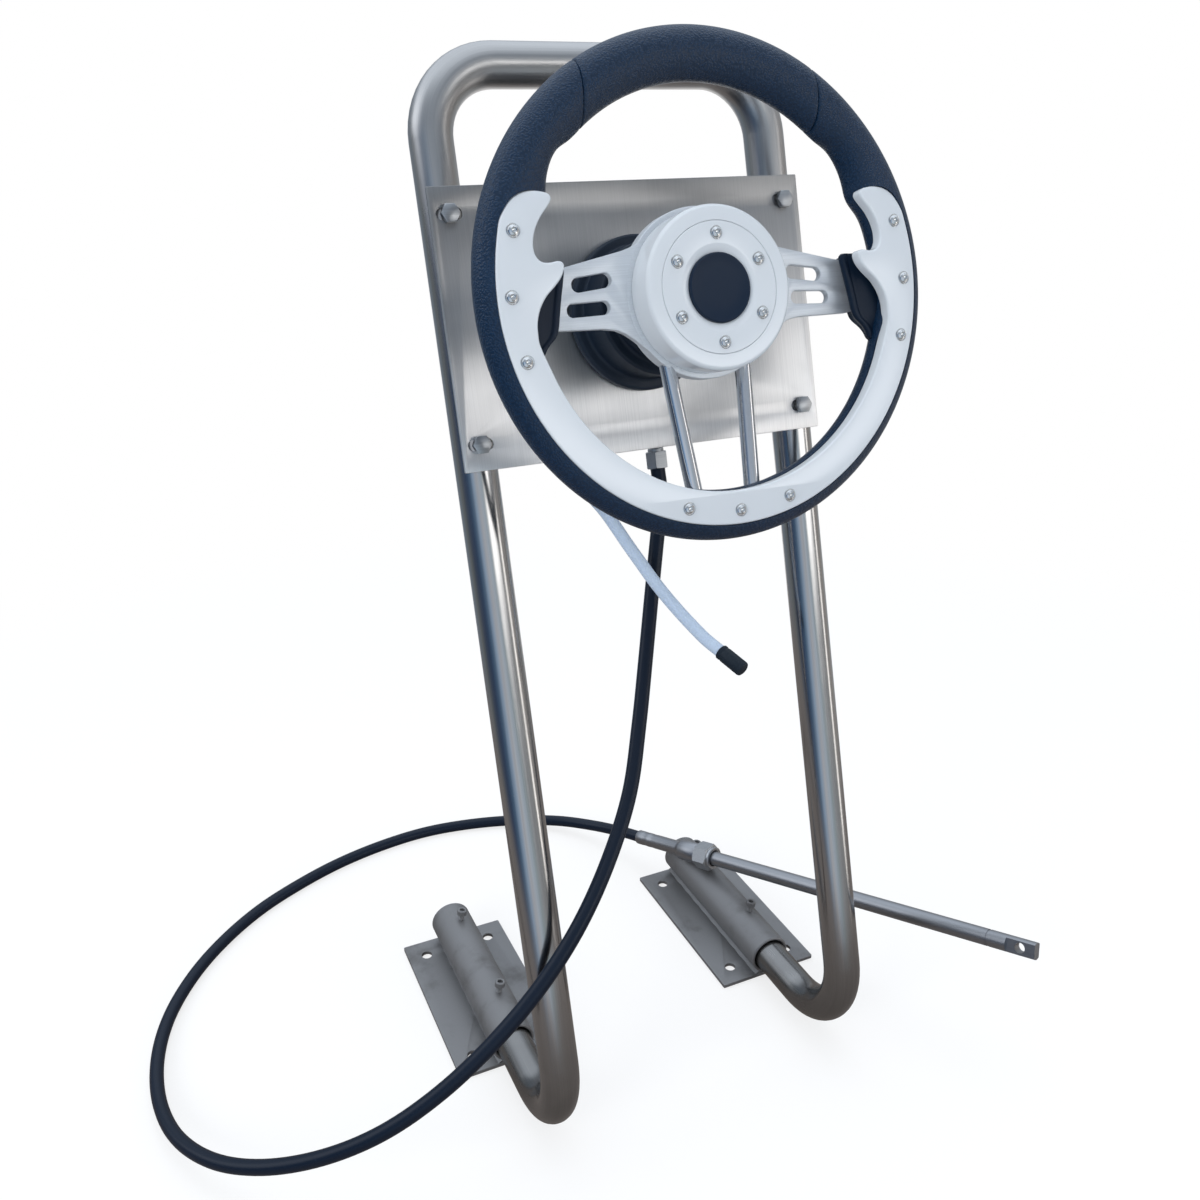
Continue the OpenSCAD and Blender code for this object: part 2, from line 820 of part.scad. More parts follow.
// Core of the cable over the drum and down into both ports
module cable_core() {
    color([0.45, 0.45, 0.46]) {
        helm()
            translate([0, 0, -drum_back])
                rotate_extrude(angle = 180) translate([core_r, 0]) circle(d = core_d);
        for (k = side) at_port(k) disc(core_d / 2, port_nut_top + 4, 0);
    }
}

// Threaded fitting that leaves the housing, with a hexagon nut at its lower end
module port_fitting(k, af) {
    at_port(k)
        difference() {
            union() {
                disc(port_thread_r, port_boss_end, port_seat);
                disc(port_tube_r, port_nut_top, port_boss_end);
                hexagon(af, port_end, port_nut_top);
            }
            disc(port_bore_r, port_nut_top + 2, port_seat + cut_over);
        }
}

module cable_port() {
    color([0.6, 0.61, 0.62]) port_fitting(1, cable_nut_af);
}

module spent_port() {
    color([0.6, 0.61, 0.62]) port_fitting(-1, spent_nut_af);
}

// Point of a smooth curve through four neighbours
function curve_point(a, b, c, d, t) = (2 * b + (c - a) * t + (2 * a - 5 * b + 4 * c - d) * t * t
    + (3 * b - a - 3 * c + d) * t * t * t) / 2;

// Points of a smooth curve through a list, n steps to each stretch
function smooth_path(p, n) = concat([for (i = [0 : len(p) - 2]) for (k = [0 : n - 1])
    curve_point(p[max(i - 1, 0)], p[i], p[i + 1], p[min(i + 2, len(p) - 1)], k / n)], [p[len(p) - 1]]);

// Directions along a path that leaves along first and ends along last
function path_dirs(p, first, last) = concat([first], [for (i = [1 : len(p) - 2])
    let (v = p[i + 1] - p[i - 1]) v / norm(v)], [last]);

// A normal carried on to the next ring without twist
function carried(n, t) = let (v = n - (n * t) * t) v / norm(v);
function path_normals(t) = [for (i = 0, n = carried([1, 0, 0], t[0]); i < len(t);
    i = i + 1, n = carried(n, t[min(i, len(t) - 1)])) n];

// Closed tube of radius r along a path, its ends square to the given directions
module cord(p, r, first, last_dir) {
    t = path_dirs(p, first, last_dir);
    n = path_normals(t);
    s = cord_sides;
    last = len(p) - 1;
    rings = [for (i = [0 : last]) let (b = cross(t[i], n[i]))
        for (k = [0 : s - 1]) p[i] + r * (cos(k * 360 / s) * n[i] + sin(k * 360 / s) * b)];
    skin = [for (i = [0 : last - 1]) for (k = [0 : s - 1]) let (m = (k + 1) % s)
        [i * s + k, (i + 1) * s + k, (i + 1) * s + m, i * s + m]];
    ends = [[for (k = [0 : s - 1]) k], [for (k = [s - 1 : -1 : 0]) last * s + k]];
    polyhedron(points = rings, faces = concat(skin, ends), convexity = 6);
}

// Start of a run under a port, at a distance below its end
function below_port(k, d) = helm_point([k * core_r, port_end - d, -drum_back]);

// Direction in which both ports point
port_dir = [0, -sin(lean), -cos(lean)];

module steering_cable() {
    tail = nut_at + ferrule_start * ram_dir;
    color([0.03, 0.035, 0.05])
        cord(smooth_path(concat([below_port(1, 0), below_port(1, cable_lead)], cable_points,
            [tail - cable_lead * ram_dir, tail]), cord_steps), cable_d / 2, port_dir, ram_dir);
}

module spent_tube() {
    color([0.72, 0.76, 0.82])
        cord(smooth_path(concat([below_port(-1, 0), below_port(-1, spent_lead)], spent_points, [spent_end]),
            cord_steps), spent_d / 2, port_dir, spent_dir);
}

// Closed rubber cap butted on the end of the spent-travel tube
module spent_tube_cap() {
    color([0.04, 0.04, 0.05]) bar(spent_end, spent_end + spent_cap_len * spent_dir, spent_cap_r);
}

// Crimped ferrule, collar and the flange that holds the coupling nut
module cable_ferrule() {
    color([0.52, 0.53, 0.55])
        ram_axis()
            difference() {
                rotate_extrude()
                    polygon([[0, ferrule_start], [ferrule_r, ferrule_start], [ferrule_r, collar_start],
                        [collar_body_r, collar_start + collar_taper], [collar_body_r, collar_end],
                        [collar_r, collar_end], [collar_r, collar_flange_at],
                        [collar_flange_r, collar_flange_at], [collar_flange_r, collar_flange_at + flange_len],
                        [0, collar_flange_at + flange_len]]);
                disc(guide_r, collar_start, nut_len);
            }
}

// Fixed inner tube that the ram slides over
module guide_tube() {
    color([0.62, 0.63, 0.65]) ram_axis() disc(guide_r, collar_start, guide_end);
}

// Hexagon coupling nut, free to turn behind the collar's flange
module coupling_nut() {
    color([0.62, 0.63, 0.66])
        ram_axis()
            difference() {
                hexagon(coupling_af, -nut_len / 2, nut_len / 2);
                disc(collar_r + run_clear, -nut_len / 2 - cut_over, nut_len / 2);
                disc(collar_flange_r + run_clear, collar_flange_at - run_clear, nut_len / 2 + cut_over);
            }
}

// Ram tube with a locating groove and a flattened, cross-drilled end
module ram() {
    color([0.63, 0.64, 0.66])
        ram_axis()
            difference() {
                disc(ram_d / 2, ram_start, ram_len);
                disc(ram_bore_r, ram_start - cut_over, guide_end + pass_gap + nut_len);
                difference() {
                    disc(ram_d, ram_len - ram_groove, ram_len - ram_groove + ram_groove_w);
                    disc(ram_d / 2 - ram_groove_depth, ram_len - ram_groove - cut_over, ram_len);
                }
                rotate([0, 0, ram_roll]) {
                    for (k = side)
                        translate([-ram_d, k * (ram_d + tang_t) / 2 - ram_d / 2, ram_len - tang_len])
                            cube([2 * ram_d, ram_d, tang_len + cut_over]);
                    translate([0, -ram_d, ram_len - link_hole_at])
                        rotate([-90, 0, 0])
                            cylinder(d = link_hole_d, h = 2 * ram_d);
                }
            }
}

// Boss with a keyed taper bore and a flange for the hub screws
module wheel_boss() {
    color([0.3, 0.3, 0.32])
        wheel_axis()
            difference() {
                union() {
                    disc(boss_body_r, boss_back, hub_back);
                    disc(boss_flange_r, hub_back - boss_flange_t, hub_back);
                }
                disc(shaft_d / 2, boss_back - cut_over, taper_start);
                translate([0, 0, taper_start]) cylinder(r1 = shaft_d / 2, r2 = taper_r, h = taper_len);
                disc(stud_r, taper_end - cut_over, hub_back + cut_over);
                key_cut();
                at_hub_screws() disc(screw_d / 2, hub_back - boss_flange_t - cut_over, hub_back + cut_over);
            }
}

// Places children on the hub screw circle, in the helm's directions
module at_hub_screws() {
    for (a = [30 : 60 : 330]) rotate([0, 0, a]) translate([hub_pcd / 2, 0, 0]) children();
}

// Outline of a slot with round ends between two points
function slot_outline(a, b, r) = let (t = atan2(b[1] - a[1], b[0] - a[0])) concat(
    [for (i = [0 : slot_steps]) b + r * [cos(t - 90 + i * 180 / slot_steps), sin(t - 90 + i * 180 / slot_steps)]],
    [for (i = [0 : slot_steps]) a + r * [cos(t + 90 + i * 180 / slot_steps), sin(t + 90 + i * 180 / slot_steps)]]);

// Plate outline of one spoke, drawn to the right, scaled with the wheel
module spoke_plate() {
    difference() {
        polygon(spoke_scale * spoke_edge);
        for (i = [0, 1])
            polygon(slot_outline(spoke_scale * slot_ends[i][0], spoke_scale * slot_ends[i][1], slot_r[i]));
    }
}

// Both spokes with the tongues that are welded to the rim's core ring
module spoke_solids() {
    for (k = side)
        scale([k, 1, 1]) {
            translate([0, 0, spoke_back]) linear_extrude(spoke_t) spoke_plate();
            translate([tongue_in, -tongue_w / 2, spoke_back])
                cube([rim_mid_r - tongue_in, tongue_w, core_ring_h - 1 - spoke_back]);
        }
}

// Solid ring at the middle of the rim
module core_ring() {
    translate([0, 0, core_ring_h])
        rotate([0, 0, 90])
            rotate_extrude() translate([rim_mid_r, 0]) circle(r = core_ring_r);
}

// Both polished rods as solids
module rod_solids() {
    for (k = side)
        bar([k * rod_top[0], rod_top[1], rod_top[2]], [k * rod_foot[0], -rim_mid_r + core_ring_r, rod_foot[2]], rod_d / 2);
}

module wheel_spider() {
    color([0.78, 0.79, 0.8])
        wheel_axis()
            union() {
                difference() {
                    union() {
                        disc(hub_r, hub_back, hub_face);
                        spoke_solids();
                    }
                    disc(hub_bore_r, hub_back - cut_over, hub_face + cut_over);
                    at_hub_screws() disc(screw_d / 2, hub_back - cut_over, hub_face + cut_over);
                    rod_solids();
                }
                core_ring();
            }
}

module spoke_rods() {
    color([0.85, 0.85, 0.86])
        wheel_axis()
            difference() {
                rod_solids();
                core_ring();
            }
}

// Oval section of the rim, drawn at the rim's radius
module rim_section() {
    polygon([for (i = [0 : rim_sides - 1]) let (a = i * 360 / rim_sides)
        [rim_mid_r + rim_half_w * cos(a), rim_h + rim_half_t * sin(a)]]);
}

// Arc of the rim between two angles
module rim_arc(from, to) {
    rotate([0, 0, from]) rotate_extrude(angle = to - from) rim_section();
}

module rim_grip_top() {
    seam = seam_gap / rim_mid_r * 90 / PI;
    color([0.05, 0.06, 0.09])
        wheel_axis()
            difference() {
                rim_arc(seam_angle + seam, 180 - seam_angle - seam);
                core_ring();
            }
}

// Half outline of the insert, from the bottom round to the tip and back
function insert_half() = concat(
    [for (a = [insert_arc_low : insert_arc_step : insert_arc_in]) insert_in_r * [cos(a), sin(a)]],
    spoke_scale * insert_edge,
    [for (a = [insert_arc_out : -insert_arc_step : insert_arc_low + 1]) insert_out_r * [cos(a), sin(a)]],
    [insert_out_r * [cos(insert_arc_low), sin(insert_arc_low)]]);

// Full outline of the insert, both halves
module insert_outline() {
    half = insert_half();
    other = [for (i = [len(half) - 2 : -1 : 1]) [-half[i][0], half[i][1]]];
    polygon(concat(half, other));
}

module insert_solid(z0, z1) {
    translate([0, 0, z0]) linear_extrude(z1 - z0) insert_outline();
}

// Places children at the nine insert screws
module at_insert_screws() {
    for (c = [0, 180, 270])
        for (k = [-1, 0, 1])
            rotate([0, 0, c + k * insert_screw_step]) translate([insert_screw_r, 0, 0]) children();
}

module rim_grip_lower() {
    color([0.05, 0.06, 0.09])
        wheel_axis()
            difference() {
                rim_arc(180 - seam_angle, 360 + seam_angle);
                core_ring();
                spoke_solids();
                rod_solids();
                insert_solid(insert_back, insert_front + rim_t);
                at_insert_screws() disc(screw_d / 2, insert_front - insert_screw_depth, insert_front);
            }
}

module rim_insert() {
    color([0.82, 0.87, 0.92])
        wheel_axis()
            difference() {
                insert_solid(insert_back, insert_front);
                at_insert_screws() disc(screw_d / 2, insert_back - cut_over, insert_front + cut_over);
            }
}

module insert_screws() {
    color([0.72, 0.72, 0.7]) wheel_axis() at_insert_screws() button_screw(insert_front, insert_screw_depth);
}

// Outline of the raised ridge along a pad's free edge
function pad_ridge() = concat(pad_inner,
    [for (i = [len(pad_inner) - 1 : -1 : 0]) pad_inner[i] + [pad_ridge_w, 0]]);

// Pad that closes the joint between a spoke and the rim
module spoke_pad(k) {
    color([0.03, 0.035, 0.05])
        wheel_axis()
            difference() {
                scale([k, 1, 1])
                    translate([0, 0, pad_back]) {
                        linear_extrude(pad_front - pad_back) polygon(spoke_scale * concat(pad_inner, pad_outer));
                        linear_extrude(pad_ridge_front - pad_back) polygon(spoke_scale * pad_ridge());
                    }
                rim_arc(0, 360);
                spoke_solids();
            }
}

module left_spoke_pad() {
    spoke_pad(-1);
}

module right_spoke_pad() {
    spoke_pad(1);
}

// White cap over the hub, with pillars for the hub screws
module hub_cap() {
    ring_back = cap_face - ring_t;
    edge = [for (a = [0 : 15 : 90]) [cap_d / 2 - cap_round * (1 - cos(a)), cap_face - cap_round * (1 - sin(a))]];
    color([0.82, 0.87, 0.92])
        wheel_axis()
            difference() {
                union() {
                    difference() {
                        rotate_extrude()
                            polygon(concat([[0, hub_face], [cap_d / 2, hub_face]], edge, [[0, cap_face]]));
                        disc(cap_d / 2 - cap_skin, hub_face - cut_over, ring_back - ledge_t);
                        disc(ring_r + ring_gap, ring_back, cap_face + cut_over);
                    }
                    at_hub_screws() disc(pillar_r, hub_face, ring_back - ledge_t / 2);
                }
                disc(centre_r, hub_face - cut_over, cap_face);
                at_hub_screws() disc(screw_d / 2, hub_face - cut_over, cap_face);
            }
}

// White ring plate held by the hub screws, bevelled round the centre cap
module hub_ring() {
    ring_back = cap_face - ring_t;
    color([0.84, 0.88, 0.93])
        wheel_axis()
            difference() {
                rotate_extrude()
                    polygon([[centre_r, ring_back], [ring_r, ring_back], [ring_r, cap_face],
                        [centre_r + centre_bevel, cap_face], [centre_r, cap_face - ring_t / 2]]);
                at_hub_screws() disc(screw_d / 2, ring_back - cut_over, cap_face + cut_over);
            }
}

module hub_screws() {
    color([0.72, 0.72, 0.7])
        wheel_axis() at_hub_screws() button_screw(cap_face, cap_face - hub_back + boss_flange_t);
}

// Black cap in the middle, with a shallow dished face
module centre_cap() {
    back = cap_face - ring_t - ledge_t - 2;
    color([0.02, 0.025, 0.04])
        wheel_axis()
            rotate_extrude()
                polygon([[0, back], [centre_r, back], [centre_r, cap_face - 1], [centre_r - 1.5, cap_face + 0.5],
                    [centre_r - 4, cap_face], [0, cap_face - 0.6]]);
}

frame_tube();
left_foot_bracket();
right_foot_bracket();
foot_clamp_screws();
helm_plate();
plate_bolts();
plate_washers();
plate_nuts();
helm_bezel();
helm_housing();
helm_dowels();
helm_cover();
cover_screws();
shaft_bushings();
input_shaft();
sun_gear();
planet_pins();
planet_clips();
planet_gear_1();
planet_gear_2();
planet_gear_3();
cable_drum();
cable_core();
cable_port();
spent_port();
spent_tube();
spent_tube_cap();
steering_cable();
cable_ferrule();
guide_tube();
coupling_nut();
ram();
wheel_boss();
shaft_key();
shaft_nut();
wheel_spider();
spoke_rods();
rim_grip_top();
rim_grip_lower();
rim_insert();
insert_screws();
left_spoke_pad();
right_spoke_pad();
hub_cap();
hub_ring();
hub_screws();
centre_cap();
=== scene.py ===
"""Boat steering helm on a bent-tube console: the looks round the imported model.

Sizes are in millimetres along the axes of each sub-assembly, and in metres in the row frame.
A name that ends in _r is a radius and one in _d a diameter. Angles of fields are in degrees.
"""
import json
import logging
import math
from dataclasses import dataclass, field
from enum import Enum
from typing import Callable, Iterable, Sequence, Union

import bmesh
import bpy
from mathutils import Matrix, Vector


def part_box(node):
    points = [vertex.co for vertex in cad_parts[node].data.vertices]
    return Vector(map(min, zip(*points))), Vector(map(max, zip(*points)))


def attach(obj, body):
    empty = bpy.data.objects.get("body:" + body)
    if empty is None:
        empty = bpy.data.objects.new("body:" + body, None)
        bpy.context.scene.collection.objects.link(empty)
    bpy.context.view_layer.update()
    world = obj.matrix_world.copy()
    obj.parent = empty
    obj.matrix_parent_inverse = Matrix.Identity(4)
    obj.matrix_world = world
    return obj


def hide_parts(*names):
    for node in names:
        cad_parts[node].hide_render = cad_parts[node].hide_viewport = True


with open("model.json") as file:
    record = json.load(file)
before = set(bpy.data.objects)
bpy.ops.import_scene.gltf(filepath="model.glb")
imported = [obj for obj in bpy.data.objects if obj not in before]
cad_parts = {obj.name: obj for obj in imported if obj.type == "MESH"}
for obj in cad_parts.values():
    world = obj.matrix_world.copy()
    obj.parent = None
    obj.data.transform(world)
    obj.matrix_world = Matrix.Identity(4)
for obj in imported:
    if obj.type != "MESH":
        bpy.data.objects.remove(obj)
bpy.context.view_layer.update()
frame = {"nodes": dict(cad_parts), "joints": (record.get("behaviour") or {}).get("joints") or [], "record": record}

LOG = logging.getLogger("helm")
MM = 0.001
FULL_TURN = 2 * math.pi
SIDES = (-1, 1)
HANDS = (("left", -1), ("right", 1))
RIM_PLANE = 140.0
WHEEL_REST = -1.2
PORT_X, PORT_DEPTH, PORT_END = 36.0, -50.0, 127.0

Pair = tuple[float, float]
Triple = tuple[float, float, float]
Law = Union[float, Callable[[float], float]]
Rings = Sequence[tuple[Law, Law]]
Mesh, Thing, Node = bpy.types.Mesh, bpy.types.Object, bpy.types.Node


class Body(Enum):
    """Rigid bodies of the frame that pieces ride on."""

    CONSOLE = "console"
    WHEEL = "wheel"
    NUT = "swivel_nut"


@dataclass(frozen=True)
class Axes:
    """Zero, in metres, and directions of a sub-assembly in the row frame."""

    origin: Vector
    x: Vector
    y: Vector
    z: Vector

    def point(self, x: float, y: float, z: float) -> Vector:
        """Returns a local point, given in millimetres, in the row frame in metres."""
        return self.origin + (self.x * x + self.y * y + self.z * z) * MM

    def matrix(self) -> Matrix:
        """Returns the matrix from local millimetres to the row frame in metres."""
        turn = Matrix((self.x, self.y, self.z)).transposed() * MM
        return Matrix.Translation(self.origin) @ turn.to_4x4()

    def turned(self, angle: float) -> "Axes":
        """Returns the same axes turned about z by an angle in degrees."""
        c, s = math.cos(math.radians(angle)), math.sin(math.radians(angle))
        return Axes(self.origin, self.x * c + self.y * s, self.y * c - self.x * s, self.z)

    def downwards(self, at: Vector) -> "Axes":
        """Returns axes at a point in metres whose z runs down along y."""
        return Axes(at, self.x, (-self.y).cross(self.x), -self.y)


ROW = Axes(Vector((0, 0, 0)), Vector((1, 0, 0)), Vector((0, 1, 0)), Vector((0, 0, 1)))


def joint(name: str) -> tuple[Vector, Vector]:
    """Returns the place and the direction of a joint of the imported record."""
    row = next(j for j in frame["joints"] if j["name"] == name)
    return Vector(row["pos_m"]), Vector(row["axis"]).normalized()


def helm_axes() -> Axes:
    """Returns the wheel's axes: y up the uprights, z to the driver, zero on the uprights' plane."""
    at, z = joint("wheel_turn")
    return Axes(at - z * RIM_PLANE * MM, ROW.x, z.cross(ROW.x), z)


def ram_axes() -> Axes:
    """Finds the ram's axes.

    Returns:
        Axes with z along the ram and zero in the middle of the coupling nut.
    """
    at, z = joint("nut_swivel")
    x = Vector((-z.y, z.x, 0)).normalized()
    return Axes(at, x, z.cross(x), z)


# Outlines and profiles


def law(value: Law, angle: float) -> float:
    """Returns a radius or height at an angle, from a number or a function."""
    return value(angle) if callable(value) else value


def hexagon(flats: float) -> Callable[[float], float]:
    """Returns the radius of a hexagon with the given width across flats, by angle."""
    sector = math.pi / 3
    return lambda a: flats / 2 / math.cos(a % sector - sector / 2)


def arc(centre: Pair, radius: float, start: float, end: float, steps: int) -> list[Pair]:
    """Returns points of an arc, its angles in degrees, ends included."""
    angles = [math.radians(start + (end - start) * i / steps) for i in range(steps + 1)]
    return [(centre[0] + radius * math.cos(a), centre[1] + radius * math.sin(a)) for a in angles]


def circle(centre: Pair, radius: float, count: int) -> list[Pair]:
    """Returns points of a whole circle."""
    return arc(centre, radius, 0, 360 - 360 / count, count - 1)


def slot_outline(a: Pair, b: Pair, radius: float, steps: int) -> list[Pair]:
    """Returns the outline of a slot with round ends about two points."""
    turn = math.degrees(math.atan2(b[1] - a[1], b[0] - a[0]))
    return (arc(b, radius, turn - 90, turn + 90, steps)
            + arc(a, radius, turn + 90, turn + 270, steps))


def rectangle(x0: float, y0: float, x1: float, y1: float) -> list[Pair]:
    """Returns the corners of a rectangle."""
    return [(x0, y0), (x1, y0), (x1, y1), (x0, y1)]


def thread(crest: float, root: float, start: float, step: float, count: int) -> list[Pair]:
    """Returns rings of a thread: radii that change between root and crest at each step."""
    return [(crest if i % 2 else root, start + i * step) for i in range(count)]


def mirrored(outline: Sequence[Pair], side: int) -> list[Pair]:
    """Returns an outline on the right, or its mirror image on the left."""
    return list(outline) if side > 0 else [(-x, y) for x, y in reversed(outline)]


def fillet(points: Sequence[Pair], radius: float, closed: bool = False,
           steps: int = 4) -> list[Pair]:
    """Rounds the corners of a polyline.

    Args:
        points: the polyline's corners.
        radius: the rounding, less where a side is too short for it.
        closed: whether the last corner joins the first.
        steps: points added along each rounding.

    Returns:
        The rounded polyline.
    """
    nearly_straight, side_share = math.radians(88), 0.45
    corners = [Vector(p) for p in points]
    count = len(corners)
    out: list[Pair] = []
    for i, corner in enumerate(corners):
        before = corners[i - 1] - corner
        after = corners[(i + 1) % count] - corner
        half = before.angle(after, math.pi) / 2
        if half > nearly_straight or (not closed and i in (0, count - 1)):
            out.append(tuple(corner))
            continue
        cut = min(radius / math.tan(half), before.length * side_share, after.length * side_share)
        a, b = (corner + way.normalized() * cut for way in (before, after))
        for t in (k / steps for k in range(steps + 1)):
            out.append(tuple(a * (1 - t) ** 2 + corner * 2 * t * (1 - t) + b * t * t))
    return out


def smooth(points: Sequence[Vector], steps: int, closed: bool = False) -> list[Vector]:
    """Draws a smooth curve through points.

    Args:
        points: what the curve runs through.
        steps: steps to each stretch between two points.
        closed: whether the last point joins the first.

    Returns:
        The curve's points.
    """
    count = len(points)
    out = []
    for i in range(count if closed else count - 1):
        near = (k % count if closed else min(max(k, 0), count - 1) for k in range(i - 1, i + 3))
        a, b, c, d = (points[k] for k in near)
        for t in (k / steps for k in range(steps)):
            out.append((b * 2 + (c - a) * t + (a * 2 - b * 5 + c * 4 - d) * t * t
                        + (b * 3 - a - c * 3 + d) * t ** 3) / 2)
    return out if closed else out + [points[-1]]


# Mesh building


def placed(name: str, data: bpy.types.ID) -> Thing:
    """Puts a new object into the scene.

    Args:
        name: its name.
        data: the mesh, curve, lamp or camera that it shows.

    Returns:
        The object.
    """
    made = bpy.data.objects.new(name, data)
    bpy.context.scene.collection.objects.link(made)
    return made


def final_mesh(holder: Thing, *helpers: Thing) -> Mesh:
    """Takes an object's mesh after its modifiers, and drops the object.

    Args:
        holder: the object.
        helpers: other objects to drop.

    Returns:
        The mesh.
    """
    shown = holder.evaluated_get(bpy.context.evaluated_depsgraph_get())
    mesh = bpy.data.meshes.new_from_object(shown)
    for thing in (holder, *helpers):
        bpy.data.objects.remove(thing)
    return mesh


def mesh_of(bm: bmesh.types.BMesh, outwards: bool = True) -> Mesh:
    """Turns a finished bmesh into a mesh.

    Args:
        bm: the bmesh, which is freed.
        outwards: whether its faces are turned outwards first.

    Returns:
        The mesh.
    """
    if outwards:
        bmesh.ops.recalc_face_normals(bm, faces=bm.faces)
    mesh = bpy.data.meshes.new("form")
    bm.to_mesh(mesh)
    bm.free()
    return mesh


def ring_of(bm: bmesh.types.BMesh, spot: Vector, across: tuple[Vector, Vector], radius: float,
            sides: int) -> list[bmesh.types.BMVert]:
    """Adds a ring of points round a spot and returns them."""
    turns = [FULL_TURN * k / sides for k in range(sides)]
    return [bm.verts.new(spot + (across[0] * math.cos(a) + across[1] * math.sin(a)) * radius)
            for a in turns]


def join(bm: bmesh.types.BMesh, low: list, high: list) -> list[bmesh.types.BMFace]:
    """Joins two rings of points with faces and returns these."""
    after = [*range(1, len(low)), 0]
    return [bm.faces.new((low[k], low[m], high[m], high[k])) for k, m in enumerate(after)]


def loft(rows: Iterable[Sequence[Sequence[float]]]) -> Mesh:
    """Builds a form through closed rows of points.

    Args:
        rows: the points of each row, all rows with the same number.

    Returns:
        The mesh, capped at both ends.
    """
    bm = bmesh.new()
    rings = [[bm.verts.new(point) for point in row] for row in rows]
    bm.faces.new(rings[0])
    for low, high in zip(rings, rings[1:]):
        join(bm, low, high)
    bm.faces.new(rings[-1])
    return mesh_of(bm)


def polar(rings: Rings, steps: int = 96, closed: bool = False) -> Mesh:
    """Builds a turned form whose rings may depend on the angle.

    Args:
        rings: radius and height of each ring, a radius of zero being a pole.
        steps: points in each ring.
        closed: whether the last ring joins the first, as in a hollow ring.

    Returns:
        The mesh, in millimetres, about the local z axis.
    """
    bm = bmesh.new()
    angles = [FULL_TURN * i / steps for i in range(steps)]
    rows = []
    for radius, height in rings:
        if not callable(radius) and radius <= 0:
            rows.append([bm.verts.new((0, 0, law(height, 0)))] * steps)
            continue
        rows.append([bm.verts.new((law(radius, a) * math.cos(a), law(radius, a) * math.sin(a),
                                   law(height, a))) for a in angles])
    for low, high in zip(rows, rows[1:] + (rows[:1] if closed else [])):
        for i in range(steps):
            k = (i + 1) % steps
            corners = list(dict.fromkeys((low[i], low[k], high[k], high[i])))
            if len(corners) > 2:
                bm.faces.new(corners)
    return mesh_of(bm)


def hex_prism(flats: float, low: float, high: float, bore: float, chamfer: float = 0.96) -> Mesh:
    """Builds a nut or bolt head with chamfered corners at both ends.

    Args:
        flats: width across flats.
        low: height of the lower face.
        high: height of the upper face.
        bore: radius of the hole, or zero.
        chamfer: radius of the end faces as a share of half the flats.

    Returns:
        The mesh about the local z axis.
    """
    wide, end, slope = hexagon(flats), flats / 2 * chamfer, math.tan(math.radians(30))
    drop = lambda a: (wide(a) - end) * slope
    rings = [(bore, low), (end, low), (wide, lambda a: low + drop(a)),
             (wide, lambda a: high - drop(a)), (end, high), (bore, high)]
    return polar(rings, 72, closed=bore > 0)


def button_head(seat: float, depth: float) -> Mesh:
    """Builds a domed screw head with a hexagon recess, a short shank and a cup washer.

    Args:
        seat: height of the seat.
        depth: how far the shank reaches below the seat.

    Returns:
        The mesh about the local z axis.
    """
    radius, height, flats, skirt, soft = 3.95, 2.5, 3.0, 0.4, 0.25
    wide, top, shank = hexagon(flats), seat + height, radius * 0.5
    dome = [(radius * math.sin(a), seat + skirt + (height - skirt) * math.cos(a))
            for a in (math.radians(d) for d in (34, 46, 58, 70, 82, 90))]
    head = [(0, top - 1.7), (flats * 0.3, top - 1.6), (wide, top - 1.3), (wide, top - soft),
            (lambda a: wide(a) + soft, top - 0.02), *dome, (radius, seat), (shank, seat),
            (shank, seat - depth), (0, seat - depth)]
    cup = [(4.0, seat - 0.3), (4.75, seat - 0.3), (4.75, seat + 0.25), (4.5, seat + 0.45),
           (4.0, seat + 0.3)]
    return joined(polar(head, 48), polar(cup, 48, True))


def plate(outlines: Sequence[Sequence[Pair]], low: float, high: float, edge: float,
          steps: int = 2) -> Mesh:
    """Builds a flat plate with holes and rounded edges.

    Args:
        outlines: the outside outline, then the holes.
        low: height of the back face.
        high: height of the front face.
        edge: rounding of all edges.
        steps: segments of the rounding.

    Returns:
        The mesh, in millimetres.
    """
    curve = bpy.data.curves.new("plate", "CURVE")
    curve.dimensions, curve.fill_mode = "2D", "BOTH"
    curve.extrude, curve.offset = (high - low) / 2 - edge, -edge
    curve.bevel_depth, curve.bevel_resolution = edge, steps
    for outline in outlines:
        spline = curve.splines.new("POLY")
        spline.points.add(len(outline) - 1)
        spline.use_cyclic_u = True
        for point, (x, y) in zip(spline.points, outline):
            point.co = (x, y, 0, 1)
    bm = bmesh.new()
    bm.from_mesh(moved(final_mesh(placed("plate", curve)),
                       Matrix.Translation((0, 0, (low + high) / 2))))
    bmesh.ops.remove_doubles(bm, verts=bm.verts, dist=1e-4)
    return mesh_of(bm)


